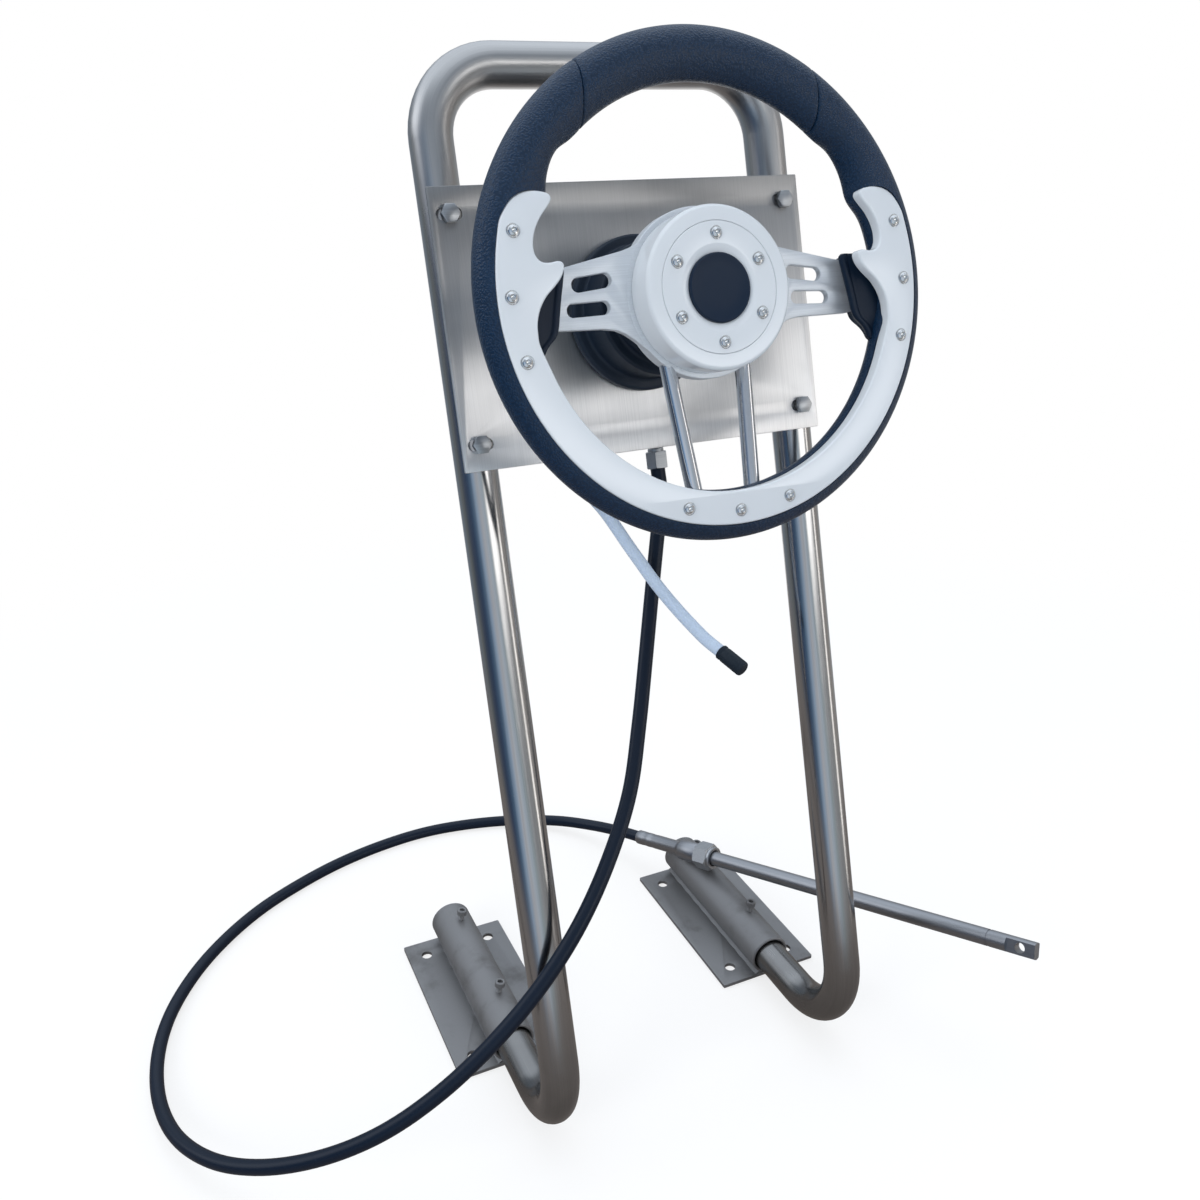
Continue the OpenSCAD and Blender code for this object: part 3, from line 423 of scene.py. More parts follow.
def sweep(path: Sequence[Vector], radius: float, sides: int, bore: float = 0.0,
          depth: float = 0.0) -> Mesh:
    """Builds a round tube along a path, with its turn and its run kept as a UV map.

    Args:
        path: the centre line, in metres.
        radius: tube radius in metres.
        sides: points round the tube.
        bore: radius of the hollow at both ends, or zero for closed ends.
        depth: how deep the hollow is.

    Returns:
        The mesh, in metres in the row frame.
    """
    bm = bmesh.new()
    uv = bm.loops.layers.uv.new("run")
    last = len(path) - 1
    dirs = [(path[min(i + 1, last)] - path[max(i - 1, 0)]).normalized() for i in range(last + 1)]
    normal = dirs[0].orthogonal().normalized()
    runs, rows, frames = [0.0], [], []
    for i, (spot, along) in enumerate(zip(path, dirs)):
        if i:
            runs.append(runs[-1] + (spot - path[i - 1]).length)
        normal = (normal - along * normal.dot(along)).normalized()
        frames.append((normal.copy(), along.cross(normal)))
        rows.append(ring_of(bm, spot, frames[-1], radius, sides))
    for low, high, start, end in zip(rows, rows[1:], runs, runs[1:]):
        for k, face in enumerate(join(bm, low, high)):
            spots = ((k, start), (k + 1, start), (k + 1, end), (k, end))
            for loop, (turn, run) in zip(face.loops, spots):
                loop[uv].uv = (turn / sides, run)
    for end, inward in ((0, 1), (-1, -1)):
        rim = rows[end]
        for deep in (0, depth) if bore else ():
            ring = ring_of(bm, path[end] + dirs[end] * inward * deep, frames[end], bore, sides)
            join(bm, rim, ring)
            rim = ring
        bm.faces.new(rim)
    return mesh_of(bm)


def joined(*meshes: Mesh) -> Mesh:
    """Joins meshes.

    Args:
        meshes: what is joined.

    Returns:
        One mesh with all of them.
    """
    bm = bmesh.new()
    for mesh in meshes:
        bm.from_mesh(mesh)
    return mesh_of(bm, outwards=False)


def moved(mesh: Mesh, place: Matrix) -> Mesh:
    """Moves a mesh to a place and returns it."""
    mesh.transform(place)
    return mesh


def copies(mesh: Mesh, places: Iterable[Matrix]) -> Mesh:
    """Returns one mesh with a copy of the given mesh at each place."""
    return joined(*(moved(mesh.copy(), place) for place in places))


def carved(mesh: Mesh, cutter: Mesh) -> Mesh:
    """Cuts one mesh out of another.

    Args:
        mesh: what is cut.
        cutter: what is taken away.

    Returns:
        What is left.
    """
    holder, tool = placed("carved", mesh), placed("cutter", cutter)
    cut = holder.modifiers.new("cut", "BOOLEAN")
    cut.operation, cut.solver, cut.object = "DIFFERENCE", "EXACT", tool
    return final_mesh(holder, tool)


def turned(angle: float, radius: float) -> Matrix:
    """Returns the place at a radius and an angle in degrees about the local z axis."""
    return Matrix.Rotation(math.radians(angle), 4, "Z") @ Matrix.Translation((radius, 0, 0))


def aimed(at: Vector, way: Vector, front: str = "Z") -> Matrix:
    """Returns the place at a point whose given axis runs along a direction."""
    return Matrix.Translation(at) @ way.to_track_quat(front, "Y").to_matrix().to_4x4()


# Shader graph

Operand = Union["Value", float]


def math_operator(operation: str, reflected: bool = False) -> Callable[["Value", Operand], "Value"]:
    """Makes a Python operator that adds a Math node.

    Args:
        operation: the node's operation.
        reflected: whether the value comes second.

    Returns:
        The operator, for the class Value.
    """
    def apply(value: "Value", other: Operand) -> "Value":
        """Returns the outcome of the operation."""
        pair = (other, value) if reflected else (value, other)
        return value.graph.value("ShaderNodeMath", {"operation": operation}, dict(enumerate(pair)))

    return apply


class Value:
    """A shader socket that takes part in Python expressions and adds Math nodes as it goes."""

    def __init__(self, graph: "Graph", socket: bpy.types.NodeSocket) -> None:
        """Keeps the graph and the socket."""
        self.graph, self.socket = graph, socket

    __add__ = __radd__ = math_operator("ADD")
    __mul__ = __rmul__ = math_operator("MULTIPLY")
    __sub__, __rsub__ = math_operator("SUBTRACT"), math_operator("SUBTRACT", reflected=True)
    __truediv__, __pow__ = math_operator("DIVIDE"), math_operator("POWER")

    def math(self, operation: str, *others: Operand) -> "Value":
        """Returns the outcome of a Math node on this value and others."""
        inputs = dict(enumerate((self, *others)))
        return self.graph.value("ShaderNodeMath", {"operation": operation}, inputs)

    def band(self, low: float, high: float) -> "Value":
        """Returns a smooth step from zero at low to one at high."""
        settings = {"interpolation_type": "SMOOTHSTEP", "clamp": True}
        return self.graph.value("ShaderNodeMapRange", settings,
                                {"Value": self, "From Min": low, "From Max": high})

    def window(self, start: float, rise: float, fall: float, end: float) -> "Value":
        """Returns one between two smooth steps, up and then down."""
        return self.band(start, rise) * (1 - self.band(fall, end))


class Graph:
    """The nodes of one material or of the world."""

    def __init__(self, tree: bpy.types.NodeTree) -> None:
        """Starts with an empty tree."""
        self.tree = tree
        tree.nodes.clear()

    def node(self, kind: str, settings: dict | None = None, inputs: dict | None = None) -> Node:
        """Adds a node.

        Args:
            kind: the node's type.
            settings: properties that are set first.
            inputs: values to link, or constants, by socket name or number.

        Returns:
            The node.
        """
        made = self.tree.nodes.new(kind)
        for key, value in (settings or {}).items():
            setattr(made, key, value)
        for key, value in (inputs or {}).items():
            socket = made.inputs[key]
            if isinstance(value, Value):
                self.tree.links.new(value.socket, socket)
            else:
                socket.default_value = (*value, 1.0) if socket.type == "RGBA" else value
        return made

    def value(self, kind: str, settings: dict | None = None, inputs: dict | None = None,
              output: Union[int, str] = 0) -> Value:
        """Adds a node and returns one of its outputs as a value."""
        return Value(self, self.node(kind, settings, inputs).outputs[output])

    def place(self, kind: str = "Object") -> Value:
        """Returns the place on the object, in metres, or another kind of coordinates."""
        return self.value("ShaderNodeTexCoord", output=kind)

    def along(self, direction: Sequence[float], place: Value | None = None) -> Value:
        """Returns the distance along a direction, in metres."""
        return self.value("ShaderNodeVectorMath", {"operation": "DOT_PRODUCT"},
                          {0: place or self.place(), 1: tuple(direction)}, "Value")

    def vector(self, x: Operand, y: Operand, z: Operand) -> Value:
        """Returns a vector of three values."""
        return self.value("ShaderNodeCombineXYZ", None, {0: x, 1: y, 2: z})

    def parts(self, vector: Value) -> list[Value]:
        """Returns the three values of a vector."""
        split = self.node("ShaderNodeSeparateXYZ", None, {0: vector})
        return [Value(self, output) for output in split.outputs]

    def noise(self, scale: float, detail: float = 3.0, rough: float = 0.5,
              vector: Value | None = None) -> Value:
        """Returns a soft noise from zero to one, its scale in cycles to the metre."""
        inputs = {"Vector": vector or self.place(), "Scale": scale, "Detail": detail}
        return self.value("ShaderNodeTexNoise", {"normalize": True}, {**inputs, "Roughness": rough})

    def mix(self, low: Union[Triple, Value], high: Union[Triple, Value], factor: Value) -> Value:
        """Returns a blend of two colours."""
        return self.value("ShaderNodeMix", {"data_type": "RGBA"}, {0: factor, 6: low, 7: high}, 2)

    def ramp(self, factor: Value, stops: Sequence[tuple[float, Triple]]) -> Value:
        """Runs a value through a colour ramp.

        Args:
            factor: the value.
            stops: place and colour of each stop.

        Returns:
            The colour.
        """
        made = self.node("ShaderNodeValToRGB", None, {0: factor})
        elements = made.color_ramp.elements
        while len(elements) < len(stops):
            elements.new(1.0)
        for element, (place, colour) in zip(elements, stops):
            element.position, element.color = place, (*colour, 1.0)
        return Value(self, made.outputs[0])

    def rays(self) -> tuple[Value, Value]:
        """Tells kinds of rays apart.

        Returns:
            One for rays from the eye, and one for mirrored or clear rays.
        """
        path = self.node("ShaderNodeLightPath").outputs
        camera, shine, through = (Value(self, path[f"Is {kind} Ray"])
                                  for kind in ("Camera", "Glossy", "Transmission"))
        return camera, shine.math("MAXIMUM", through)


def shade(colour: Triple, factor: float) -> Triple:
    """Returns a colour made lighter or darker."""
    return tuple(min(1.0, c * factor) for c in colour)


# Finishes


@dataclass(frozen=True)
class Finish:
    """A surface finish.

    Attributes:
        name: material name.
        colour: base colour, linear.
        roughness: middle roughness.
        metallic: one for bare metal.
        specular: level of the mirror part of a surface that isn't metal.
    """

    name: str
    colour: Triple
    roughness: float
    metallic: float = 0.0
    specular: float = field(default=0.5, kw_only=True)

    def material(self) -> bpy.types.Material:
        """Makes the finish.

        Returns:
            The material.
        """
        made = bpy.data.materials.new(self.name)
        made.use_nodes = True
        graph = Graph(made.node_tree)
        shader = graph.node("ShaderNodeBsdfPrincipled", None, {
            "Metallic": self.metallic, "Specular IOR Level": self.specular})
        graph.node("ShaderNodeOutputMaterial", None, {"Surface": Value(graph, shader.outputs[0])})
        self.dress(graph, shader)
        return made

    def dress(self, graph: Graph, shader: Node) -> None:
        """Feeds the shader, each kind of finish in its own way."""
        raise NotImplementedError

    def tones(self, graph: Graph, low: float, high: float, factor: Value) -> Value:
        """Returns a blend of a darker and a lighter shade of the colour."""
        return graph.mix(shade(self.colour, low), shade(self.colour, high), factor)

    @staticmethod
    def feed(shader: Node, colour: Value, rough: Value, height: Value, strength: float,
             depth: float) -> None:
        """Links what varies over the surface.

        Args:
            shader: the surface shader.
            colour: base colour.
            rough: roughness.
            height: height of the bump, from zero to one.
            strength: strength of the bump.
            depth: full step of the bump, in metres.
        """
        graph = colour.graph
        bump = graph.value("ShaderNodeBump", None, {
            "Height": height, "Strength": strength, "Distance": depth})
        for name, value in (("Base Color", colour), ("Roughness", rough), ("Normal", bump)):
            graph.tree.links.new(value.socket, shader.inputs[name])


class Run(Enum):
    """How the lines of a brushed metal run."""

    DIRECTION = 1
    TUBE = 2
    TURNED = 3


@dataclass(frozen=True)
class Brushed(Finish):
    """Brushed or drawn metal with long fine lines.

    Attributes:
        run: how the lines run.
        line: direction of the lines, or the axis that they turn about.
        centre: point on that axis.
        pitch: lines to the metre.
        contrast: share by which the lines change the colour.
        smudge: share by which hand marks change the colour.
        relief: depth of the lines, in metres.
        fall: painted light and shade, as tones at the lower and upper edge, as shares of the colour.
        reach: heights of those edges along the lines, in metres.
        bends: extra roughness of the bent ends of a tube.
        straight: where its straight run begins and ends, each over a stretch, in metres.
        stretch: changes to the metre along a line.
    """

    run: Run = Run.DIRECTION
    line: Triple = (0.0, 0.0, 1.0)
    centre: Triple = (0.0, 0.0, 0.0)
    pitch: float = 900.0
    contrast: float = 0.14
    smudge: float = 0.08
    relief: float = 0.00003
    fall: Pair = (1.0, 1.0)
    reach: Pair = (0.0, 1.0)
    bends: float = 0.0
    straight: tuple[float, float, float, float] = (0.0, 0.07, 0.72, 0.82)
    stretch: float = 5.0

    def lines(self, graph: Graph) -> Value:
        """Draws the brush lines.

        Args:
            graph: the material's nodes.

        Returns:
            The lines, from zero to one.
        """
        along, pitch = graph.along, self.pitch
        axis = Vector(self.line).normalized()
        first = axis.orthogonal().normalized()
        second = axis.cross(first)
        if self.run is Run.TUBE:
            tube_radius = 0.017
            turn, run, _ = graph.parts(graph.place("UV"))
            round_it = [(turn * FULL_TURN).math(way) for way in ("COSINE", "SINE")]
            spot = (*(way * (pitch * tube_radius) for way in round_it), run * self.stretch)
        elif self.run is Run.TURNED:
            a, b = (along(way) - Vector(self.centre).dot(way) for way in (first, second))
            spot = ((a * a + b * b) ** 0.5 * pitch, along(axis) * pitch, 0.0)
        else:
            spot = (along(first) * pitch, along(second) * pitch, along(axis) * self.stretch)
        return graph.noise(1.0, 4.0, 0.6, graph.vector(*spot))

    def dress(self, graph: Graph, shader: Node) -> None:
        """Feeds the shader with brush lines under soft hand marks, and with light and shade painted as a tone that
        changes from the lower to the upper edge.

        Args:
            graph: the material's nodes.
            shader: the surface shader.
        """
        lines = self.lines(graph)
        marks = graph.noise(14.0, 4.0, 0.55)
        spots = graph.noise(160.0, 2.0).band(0.62, 0.8)
        # Painted light and shade: one lined tone for each of fall's shares, lit and shaded copies of the colour,
        # blended along the lines between the reach's heights.
        tones = [self.tones(graph, tone * (1 - self.contrast), tone * (1 + self.contrast),
                            lines.band(0.25, 0.75)) for tone in dict.fromkeys(self.fall)]
        drawn = tones[0]
        if len(tones) > 1:
            drawn = graph.mix(*tones, graph.along(self.line).band(*self.reach))
        smudged = shade(self.colour, 1 - 2 * self.smudge)
        rough = ((lines - 0.5) * self.contrast + marks.band(0.4, 0.75) * 0.06 + spots * 0.04
                 + self.roughness)
        if self.bends:
            rough = rough + (1 - graph.along(ROW.z).window(*self.straight)) * self.bends
        self.feed(shader, graph.mix(drawn, smudged, marks.band(0.5, 0.8) * 0.45), rough, lines,
                  0.25, self.relief)


@dataclass(frozen=True)
class Blasted(Finish):
    """Blasted steel with dark cloudy stains."""

    stain: Triple = (0.1, 0.1, 0.1)

    def dress(self, graph: Graph, shader: Node) -> None:
        """Feeds the shader with blast grain and stains.

        Args:
            graph: the material's nodes.
            shader: the surface shader.
        """
        grain = graph.noise(1900.0, 2.0)
        cloud = graph.noise(22.0, 5.0, 0.6)
        scratch = graph.noise(1.0, 3.0, 0.7, graph.vector(
            graph.along((1, 0.2, 0)) * 900.0, graph.along((0, 1, 0)) * 20.0, 0.0))
        base = self.tones(graph, 0.86, 1.12, grain)
        rough = (grain * 0.12 - scratch.band(0.66, 0.72) * 0.12 + cloud * 0.1
                 + (self.roughness - 0.1))
        self.feed(shader, graph.mix(base, self.stain, cloud.band(0.5, 0.78) * 0.55), rough, grain,
                  0.35, 0.00006)


@dataclass(frozen=True)
class GrainedSkin(Finish):
    """Moulded foam skin with a leather grain.

    Attributes:
        cell: grain cells to the metre.
        depth: depth of the grain, in metres.
        warp: how far the cells are pulled out of shape, in metres.
    """

    cell: float = 640.0
    depth: float = 0.00045
    warp: Triple = (0.0016, -0.0011, 0.0013)

    def dress(self, graph: Graph, shader: Node) -> None:
        """Feeds the shader with pebbled cells and fine pores.

        Args:
            graph: the material's nodes.
            shader: the surface shader.
        """
        pull = graph.noise(300.0, 2.0)
        moved = graph.value("ShaderNodeVectorMath", {"operation": "ADD"}, {
            0: graph.place(), 1: graph.vector(*(pull * share for share in self.warp))})
        cells = graph.value("ShaderNodeTexVoronoi", {"feature": "F1"},
                            {"Vector": moved, "Scale": self.cell}, "Distance")
        pores = graph.noise(2600.0, 2.0)
        wear = graph.noise(18.0, 3.0)
        height = (1 - cells.band(0.15, 0.75)) * 0.8 + pores * 0.2
        tone = self.tones(graph, 0.72, 1.25, height)
        worn = graph.mix(tone, shade(self.colour, 1.7), wear.band(0.55, 0.8) * 0.35)
        rough = self.roughness + 0.1 - height * 0.14 - wear * 0.06
        self.feed(shader, worn, rough, height, 0.7, self.depth)


@dataclass(frozen=True)
class Gloss(Finish):
    """Sprayed gloss with a faint orange peel."""

    coat: float = 0.4

    def dress(self, graph: Graph, shader: Node) -> None:
        """Feeds the shader with orange peel and a little dust.

        Args:
            graph: the material's nodes.
            shader: the surface shader.
        """
        shader.inputs["Coat Weight"].default_value = self.coat
        shader.inputs["Coat Roughness"].default_value = 0.06
        peel = graph.noise(260.0, 2.0)
        dust = graph.noise(1500.0, 2.0).band(0.7, 0.82)
        haze = graph.noise(20.0, 3.0)
        tone = self.tones(graph, 0.97, 1.02, haze)
        rough = haze * 0.08 + dust * 0.2 + (self.roughness - 0.04)
        self.feed(shader, graph.mix(tone, shade(self.colour, 0.85), dust * 0.25), rough, peel,
                  0.12, 0.00006)


@dataclass(frozen=True)
class Moulded(Finish):
    """Moulded plastic or rubber with a fine spark grain and scuffs.

    Attributes:
        grain: grain cells to the metre.
        relief: depth of the grain, in metres.
        soft: weight of light that scatters below the surface.
    """

    grain: float = 1600.0
    relief: float = 0.00005
    soft: float = 0.0

    def dress(self, graph: Graph, shader: Node) -> None:
        """Feeds the shader with spark grain and pale scuffs.

        Args:
            graph: the material's nodes.
            shader: the surface shader.
        """
        if self.soft:
            shader.inputs["Subsurface Weight"].default_value = self.soft
            shader.inputs["Subsurface Radius"].default_value = (0.004, 0.004, 0.005)
        spark = graph.noise(self.grain, 2.0)
        ways = (((1, 0.3, 0.2), 240.0), ((0, 1, 0.4), 60.0), ((0, 0.2, 1), 60.0))
        scuff = graph.noise(1.0, 3.0, 0.7, graph.vector(
            *(graph.along(way) * scale for way, scale in ways))).band(0.62, 0.78)
        tone = self.tones(graph, 0.85, 1.15, spark)
        rough = spark * 0.1 + scuff * 0.12 + (self.roughness - 0.05)
        self.feed(shader, graph.mix(tone, shade(self.colour, 1.5), scuff * 0.4), rough, spark,
                  0.3, self.relief)


class Paintshop:
    """All finishes, by the record's material slots."""

    def __init__(self, helm: Axes, ram: Axes) -> None:
        """Makes every finish once.

        Args:
            helm: the wheel's axes, for the directions of brush lines.
            ram: the ram's axes.
        """
        up, across = tuple(helm.y), tuple(helm.x)
        lathe = {"run": Run.TURNED, "line": tuple(helm.z), "centre": tuple(helm.origin)}
        sheet = tuple(Vector(corner).dot(helm.y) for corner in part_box("helm_plate"))
        finishes = {
            # Painted shade: the tube falls to about half its tone towards the floor, below 0.2 m, where the feet
            # are.
            "tube": Brushed("satin tube", (0.50, 0.49, 0.48), 0.18, 1.0, Run.TUBE, contrast=0.07,
                            smudge=0.05, fall=(0.48, 1.0), reach=(0.03, 0.2), bends=0.14),
            "bracket": Blasted("blasted steel", (0.25, 0.248, 0.25), 0.55, 0.7,
                               stain=(0.075, 0.068, 0.062)),
            "fastener": Brushed("screw steel", (0.76, 0.76, 0.75), 0.2, 1.0, **lathe, pitch=2500.0,
                                contrast=0.03, smudge=0.03, relief=0.000006),
            # Painted reflection and shade: the plate is much brighter towards its lower edge and darker towards
            # its upper edge, between the heights in sheet.
            "plate": Brushed("brushed sheet", (0.57, 0.56, 0.55), 0.4, 1.0, line=up, pitch=1300.0,
                             contrast=0.07, smudge=0.04, relief=0.00008, fall=(1.6, 0.72),
                             reach=sheet),
            "bezel": Moulded("grained bezel", (0.011, 0.019, 0.033), 0.42, specular=0.3),
            "housing": Moulded("coated casting", (0.016, 0.017, 0.02), 0.45, 0.2, 900.0, 0.0001),
            "steel": Brushed("machined steel", (0.5, 0.5, 0.51), 0.3, 1.0, **lathe, pitch=3000.0),
            "bronze": Brushed("bearing bronze", (0.5, 0.34, 0.15), 0.32, 1.0, **lathe,
                              pitch=2600.0),
            "drum": Brushed("machined drum", (0.6, 0.6, 0.59), 0.32, 1.0, **lathe, pitch=2400.0),
            "zinc": Brushed("zinc plate", (0.47, 0.48, 0.49), 0.36, 1.0, line=across, pitch=1800.0),
            "spent_hose": Moulded("milky hose", (0.52, 0.62, 0.75), 0.36, 0.0, 700.0, 0.00002,
                                  0.35),
            "rubber": Moulded("black rubber", (0.010, 0.017, 0.026), 0.55, 0.0, 1400.0, 0.00006,
                              specular=0.3),
            "cable_jacket": Moulded("cable jacket", (0.005, 0.010, 0.021), 0.32, 0.0, 1100.0,
                                    0.00003, specular=0.24),
            "ram_steel": Brushed("satin ram", (0.35, 0.355, 0.37), 0.38, 1.0, line=tuple(ram.z),
                                 pitch=1500.0, contrast=0.07),
            "boss": Brushed("dark boss", (0.06, 0.06, 0.065), 0.35, 0.9, **lathe, pitch=2000.0),
            "spoke_metal": Brushed("brushed spoke", (0.74, 0.77, 0.80), 0.45, 0.62, line=across,
                                   pitch=1500.0, contrast=0.06, smudge=0.04),
            "rod_chrome": Brushed("polished rod", (0.78, 0.78, 0.79), 0.1, 1.0, line=up,
                                  pitch=600.0, contrast=0.03),
            "grip": GrainedSkin("grained grip", (0.004, 0.019, 0.048), 0.32, specular=0.4),
            "white_gloss": Gloss("white gloss", (0.645, 0.682, 0.713), 0.16),
            "pad": Moulded("smooth pad", (0.005, 0.012, 0.026), 0.36, specular=0.2),
            "black_gloss": Gloss("black gloss", (0.007, 0.016, 0.034), 0.4, coat=0.0,
                                 specular=0.2),
        }
        self.materials = {slot: finish.material() for slot, finish in finishes.items()}

    def dress_frame(self) -> None:
        """Gives every CAD node the finish of its slot."""
        for row in frame["record"]["subparts"]:
            node = frame["nodes"][row["node"]]
            node.data.materials.clear()
            node.data.materials.append(self.materials[row["material_slot"]])


@dataclass
class Workshop:
    """Makes pieces that ride on a body, take a slot and stand for a CAD node, and lists them."""

    paint: Paintshop
    made: list[str] = field(default_factory=list)

    def piece(self, name: str, mesh: Mesh, slot: str, node: str, axes: Axes | None = None,
              body: Body = Body.CONSOLE, crease: float = 35.0) -> Thing:
        """Turns a mesh into a piece of the object.

        Args:
            name: the piece's name.
            mesh: its mesh, in the axes' millimetres, or in metres without axes.
            slot: its material slot.
            node: the CAD node that it replaces.
            axes: directions of the mesh.
            body: the body it rides on.
            crease: angle in degrees over which an edge is sharp.

        Returns:
            The object.
        """
        if axes:
            mesh.transform(axes.matrix())
        mesh.name = name
        mesh.materials.clear()
        mesh.materials.append(self.paint.materials[slot])
        for face in mesh.polygons:
            face.use_smooth = True
        mesh.set_sharp_from_angle(angle=math.radians(crease))
        made = placed(name, mesh)
        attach(made, body.value)
        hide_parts(node)
        self.made.append(name)
        LOG.info("%s: %d faces on %s", name, len(mesh.polygons), body.value)
        return made


# Studio


@dataclass(frozen=True)
class Studio:
    """Camera, lamps, world and floor.

    Attributes:
        eye: the camera's place, in millimetres.
        yaw: turn of the view to the right of +Y, in degrees.
        pitch: dip of the view, in degrees.
        roll: turn of the picture, in degrees.
        focal: focal length in pixels of the photograph's square frame.
        frame_px: width of that frame.
        floor_size: half the floor's width, in metres.
        floor_z: the floor's height, in metres.
    """

    eye: Triple = (-406.9, -812.8, 847.2)
    yaw: float = 24.46
    pitch: float = 23.53
    roll: float = 0.41
    focal: float = 1122.0
    frame_px: float = 1200.0
    floor_size: float = 30.0
    floor_z: float = -0.0005

    # Name, place, size, power and colour of each lamp.
    LAMPS = (
        ("key", (-2.7, -1.5, 1.7), (1.4, 1.4), 49.0, (1.0, 0.99, 0.97)),
        ("fill", (2.2, -1.8, 1.6), (1.2, 1.6), 14.0, (0.98, 0.98, 1.0)),
        ("top", (0.2, 0.2, 2.9), (1.8, 1.8), 18.0, (1.0, 1.0, 1.0)))
    # Colours of the walls, once round from the back.
    WALL = (
        (0.0, (0.30, 0.33, 0.38)), (0.069, (0.23, 0.28, 0.34)), (0.161, (0.18, 0.20, 0.21)),
        (0.225, (0.07, 0.095, 0.15)), (0.281, (0.045, 0.08, 0.16)), (0.331, (0.10, 0.18, 0.30)),
        (0.381, (0.42, 0.57, 0.77)), (0.425, (0.64, 0.66, 0.71)), (0.472, (0.60, 0.71, 0.84)),
        (0.517, (0.40, 0.49, 0.54)), (0.564, (0.40, 0.42, 0.45)), (0.614, (0.34, 0.36, 0.38)),
        (0.736, (0.37, 0.35, 0.34)), (0.825, (0.42, 0.45, 0.47)), (1.0, (0.30, 0.33, 0.38)))
    WHITE, STRIP, UPPER = (1.0, 1.0, 1.0), (2.4, 2.35, 2.3), (0.33, 0.38, 0.45)
    SKY, GLOW, BOX = (1.02, 1.13, 1.27), (1.55, 1.65, 1.8), (3.0, 3.0, 3.02)

    def build(self) -> None:
        """Makes the whole studio."""
        self.camera()
        self.lamps()
        self.world()
        self.floor()

    def ahead(self) -> Vector:
        """Returns the direction of view."""
        yaw, pitch = math.radians(self.yaw), math.radians(self.pitch)
        return Vector((math.sin(yaw) * math.cos(pitch), math.cos(yaw) * math.cos(pitch),
                       -math.sin(pitch)))

    def camera(self) -> None:
        """Makes the camera at the photograph's view."""
        yaw, roll = math.radians(self.yaw), math.radians(self.roll)
        ahead = self.ahead()
        right = Vector((math.cos(yaw), -math.sin(yaw), 0))
        down = ahead.cross(right)
        x = right * math.cos(roll) + down * math.sin(roll)
        y = right * math.sin(roll) - down * math.cos(roll)
        data = bpy.data.cameras.new("view")
        data.sensor_width = 36.0
        data.lens = data.sensor_width * self.focal / self.frame_px
        data.clip_end = 100.0
        camera = placed("view", data)
        turn = Matrix((x, y, -ahead)).transposed().to_4x4()
        camera.matrix_world = Matrix.Translation(Vector(self.eye) * MM) @ turn
        bpy.context.scene.camera = camera

    def lamps(self) -> None:
        """Makes soft lamps that point at the object's middle, their shine left to the room."""
        middle = Vector((0, 0, 0.5))
        for name, at, size, watts, colour in self.LAMPS:
            data = bpy.data.lights.new(name, "AREA")
            data.shape = "RECTANGLE"
            data.size, data.size_y = size
            data.energy, data.color = watts, colour
            lamp = placed(name, data)
            lamp.matrix_world = aimed(Vector(at), middle - Vector(at), "-Z")
            lamp.visible_glossy = False

    def world(self) -> None:
        """Makes a soft room with a dark side, a pale front, a low softbox and a bright sky."""
        world = bpy.data.worlds.new("room")
        bpy.context.scene.world = world
        world.use_nodes = True
        graph = Graph(world.node_tree)
        towards = graph.place("Generated")
        x, y, z = graph.parts(towards)
        around = x.math("ARCTAN2", y * -1.0) / FULL_TURN + 0.5
        behind = 1 - around.window(0.2, 0.32, 0.7, 0.8)
        lights = (
            (self.STRIP, around.window(0.653, 0.663, 0.676, 0.686)),
            (self.UPPER, z.band(0.24, 0.55)),
            (self.SKY, z.band(0.7, 1.0).math("MAXIMUM", behind * z.band(0.34, 0.62))),
            (self.GLOW, z.window(0.14, 0.3, 0.5, 0.8) * around.window(0.11, 0.16, 0.22, 0.28)),
            (self.BOX, z.window(0.07, 0.15, 0.22, 0.34) * around.window(0.505, 0.54, 0.6, 0.645)))
        room = graph.ramp(around, self.WALL)
        for colour, share in lights:
            room = graph.mix(room, colour, share)
        camera, mirror = graph.rays()
        backdrop = mirror * graph.along(self.ahead(), towards).band(0.88, 0.97)
        seen = graph.mix(room, self.WHITE, camera.math("MAXIMUM", backdrop))
        back = graph.value("ShaderNodeBackground", None, {"Color": seen, "Strength": 1.0})
        graph.node("ShaderNodeOutputWorld", None, {"Surface": back})

    def floor(self) -> None:
        """Makes a wide floor that is white to the eye, keeps a soft shadow and shows in metal."""
        bm = bmesh.new()
        bmesh.ops.create_grid(bm, x_segments=1, y_segments=1, size=self.floor_size)
        mesh = mesh_of(bm)
        material = bpy.data.materials.new("pale floor")
        material.use_nodes = True
        graph = Graph(material.node_tree)
        camera, mirror = graph.rays()
        x, y = graph.along(ROW.x), graph.along(ROW.y)
        reach = (x * x + y * y) ** 0.5
        grey = graph.mix((0.42, 0.42, 0.43), (0.9, 0.9, 0.9), camera)
        tint = graph.mix((0.18, 0.15, 0.13), self.WHITE, camera)
        matt = graph.value("ShaderNodeBsdfDiffuse", None, {"Color": grey})
        glow = graph.value("ShaderNodeEmission", None, {"Color": tint, "Strength": 1.0})
        share = camera * (0.74 + reach.band(0.8, 1.6) * 0.26) + mirror * 0.8
        both = graph.value("ShaderNodeMixShader", None, {0: share, 1: matt, 2: glow})
        clear = graph.value("ShaderNodeBsdfTransparent")
        ends = graph.value("ShaderNodeMixShader", None, {
            0: mirror * reach.band(0.6, 1.2), 1: both, 2: clear})
        graph.node("ShaderNodeOutputMaterial", None, {"Surface": ends})
        mesh.materials.append(material)
        floor = placed("floor", mesh)
        floor.location = (0, 0, self.floor_z)


# Sub-assemblies


@dataclass
class Assembly:
    """A group of pieces, the workshop that makes them and the wheel's axes."""

    shop: Workshop
    helm: Axes


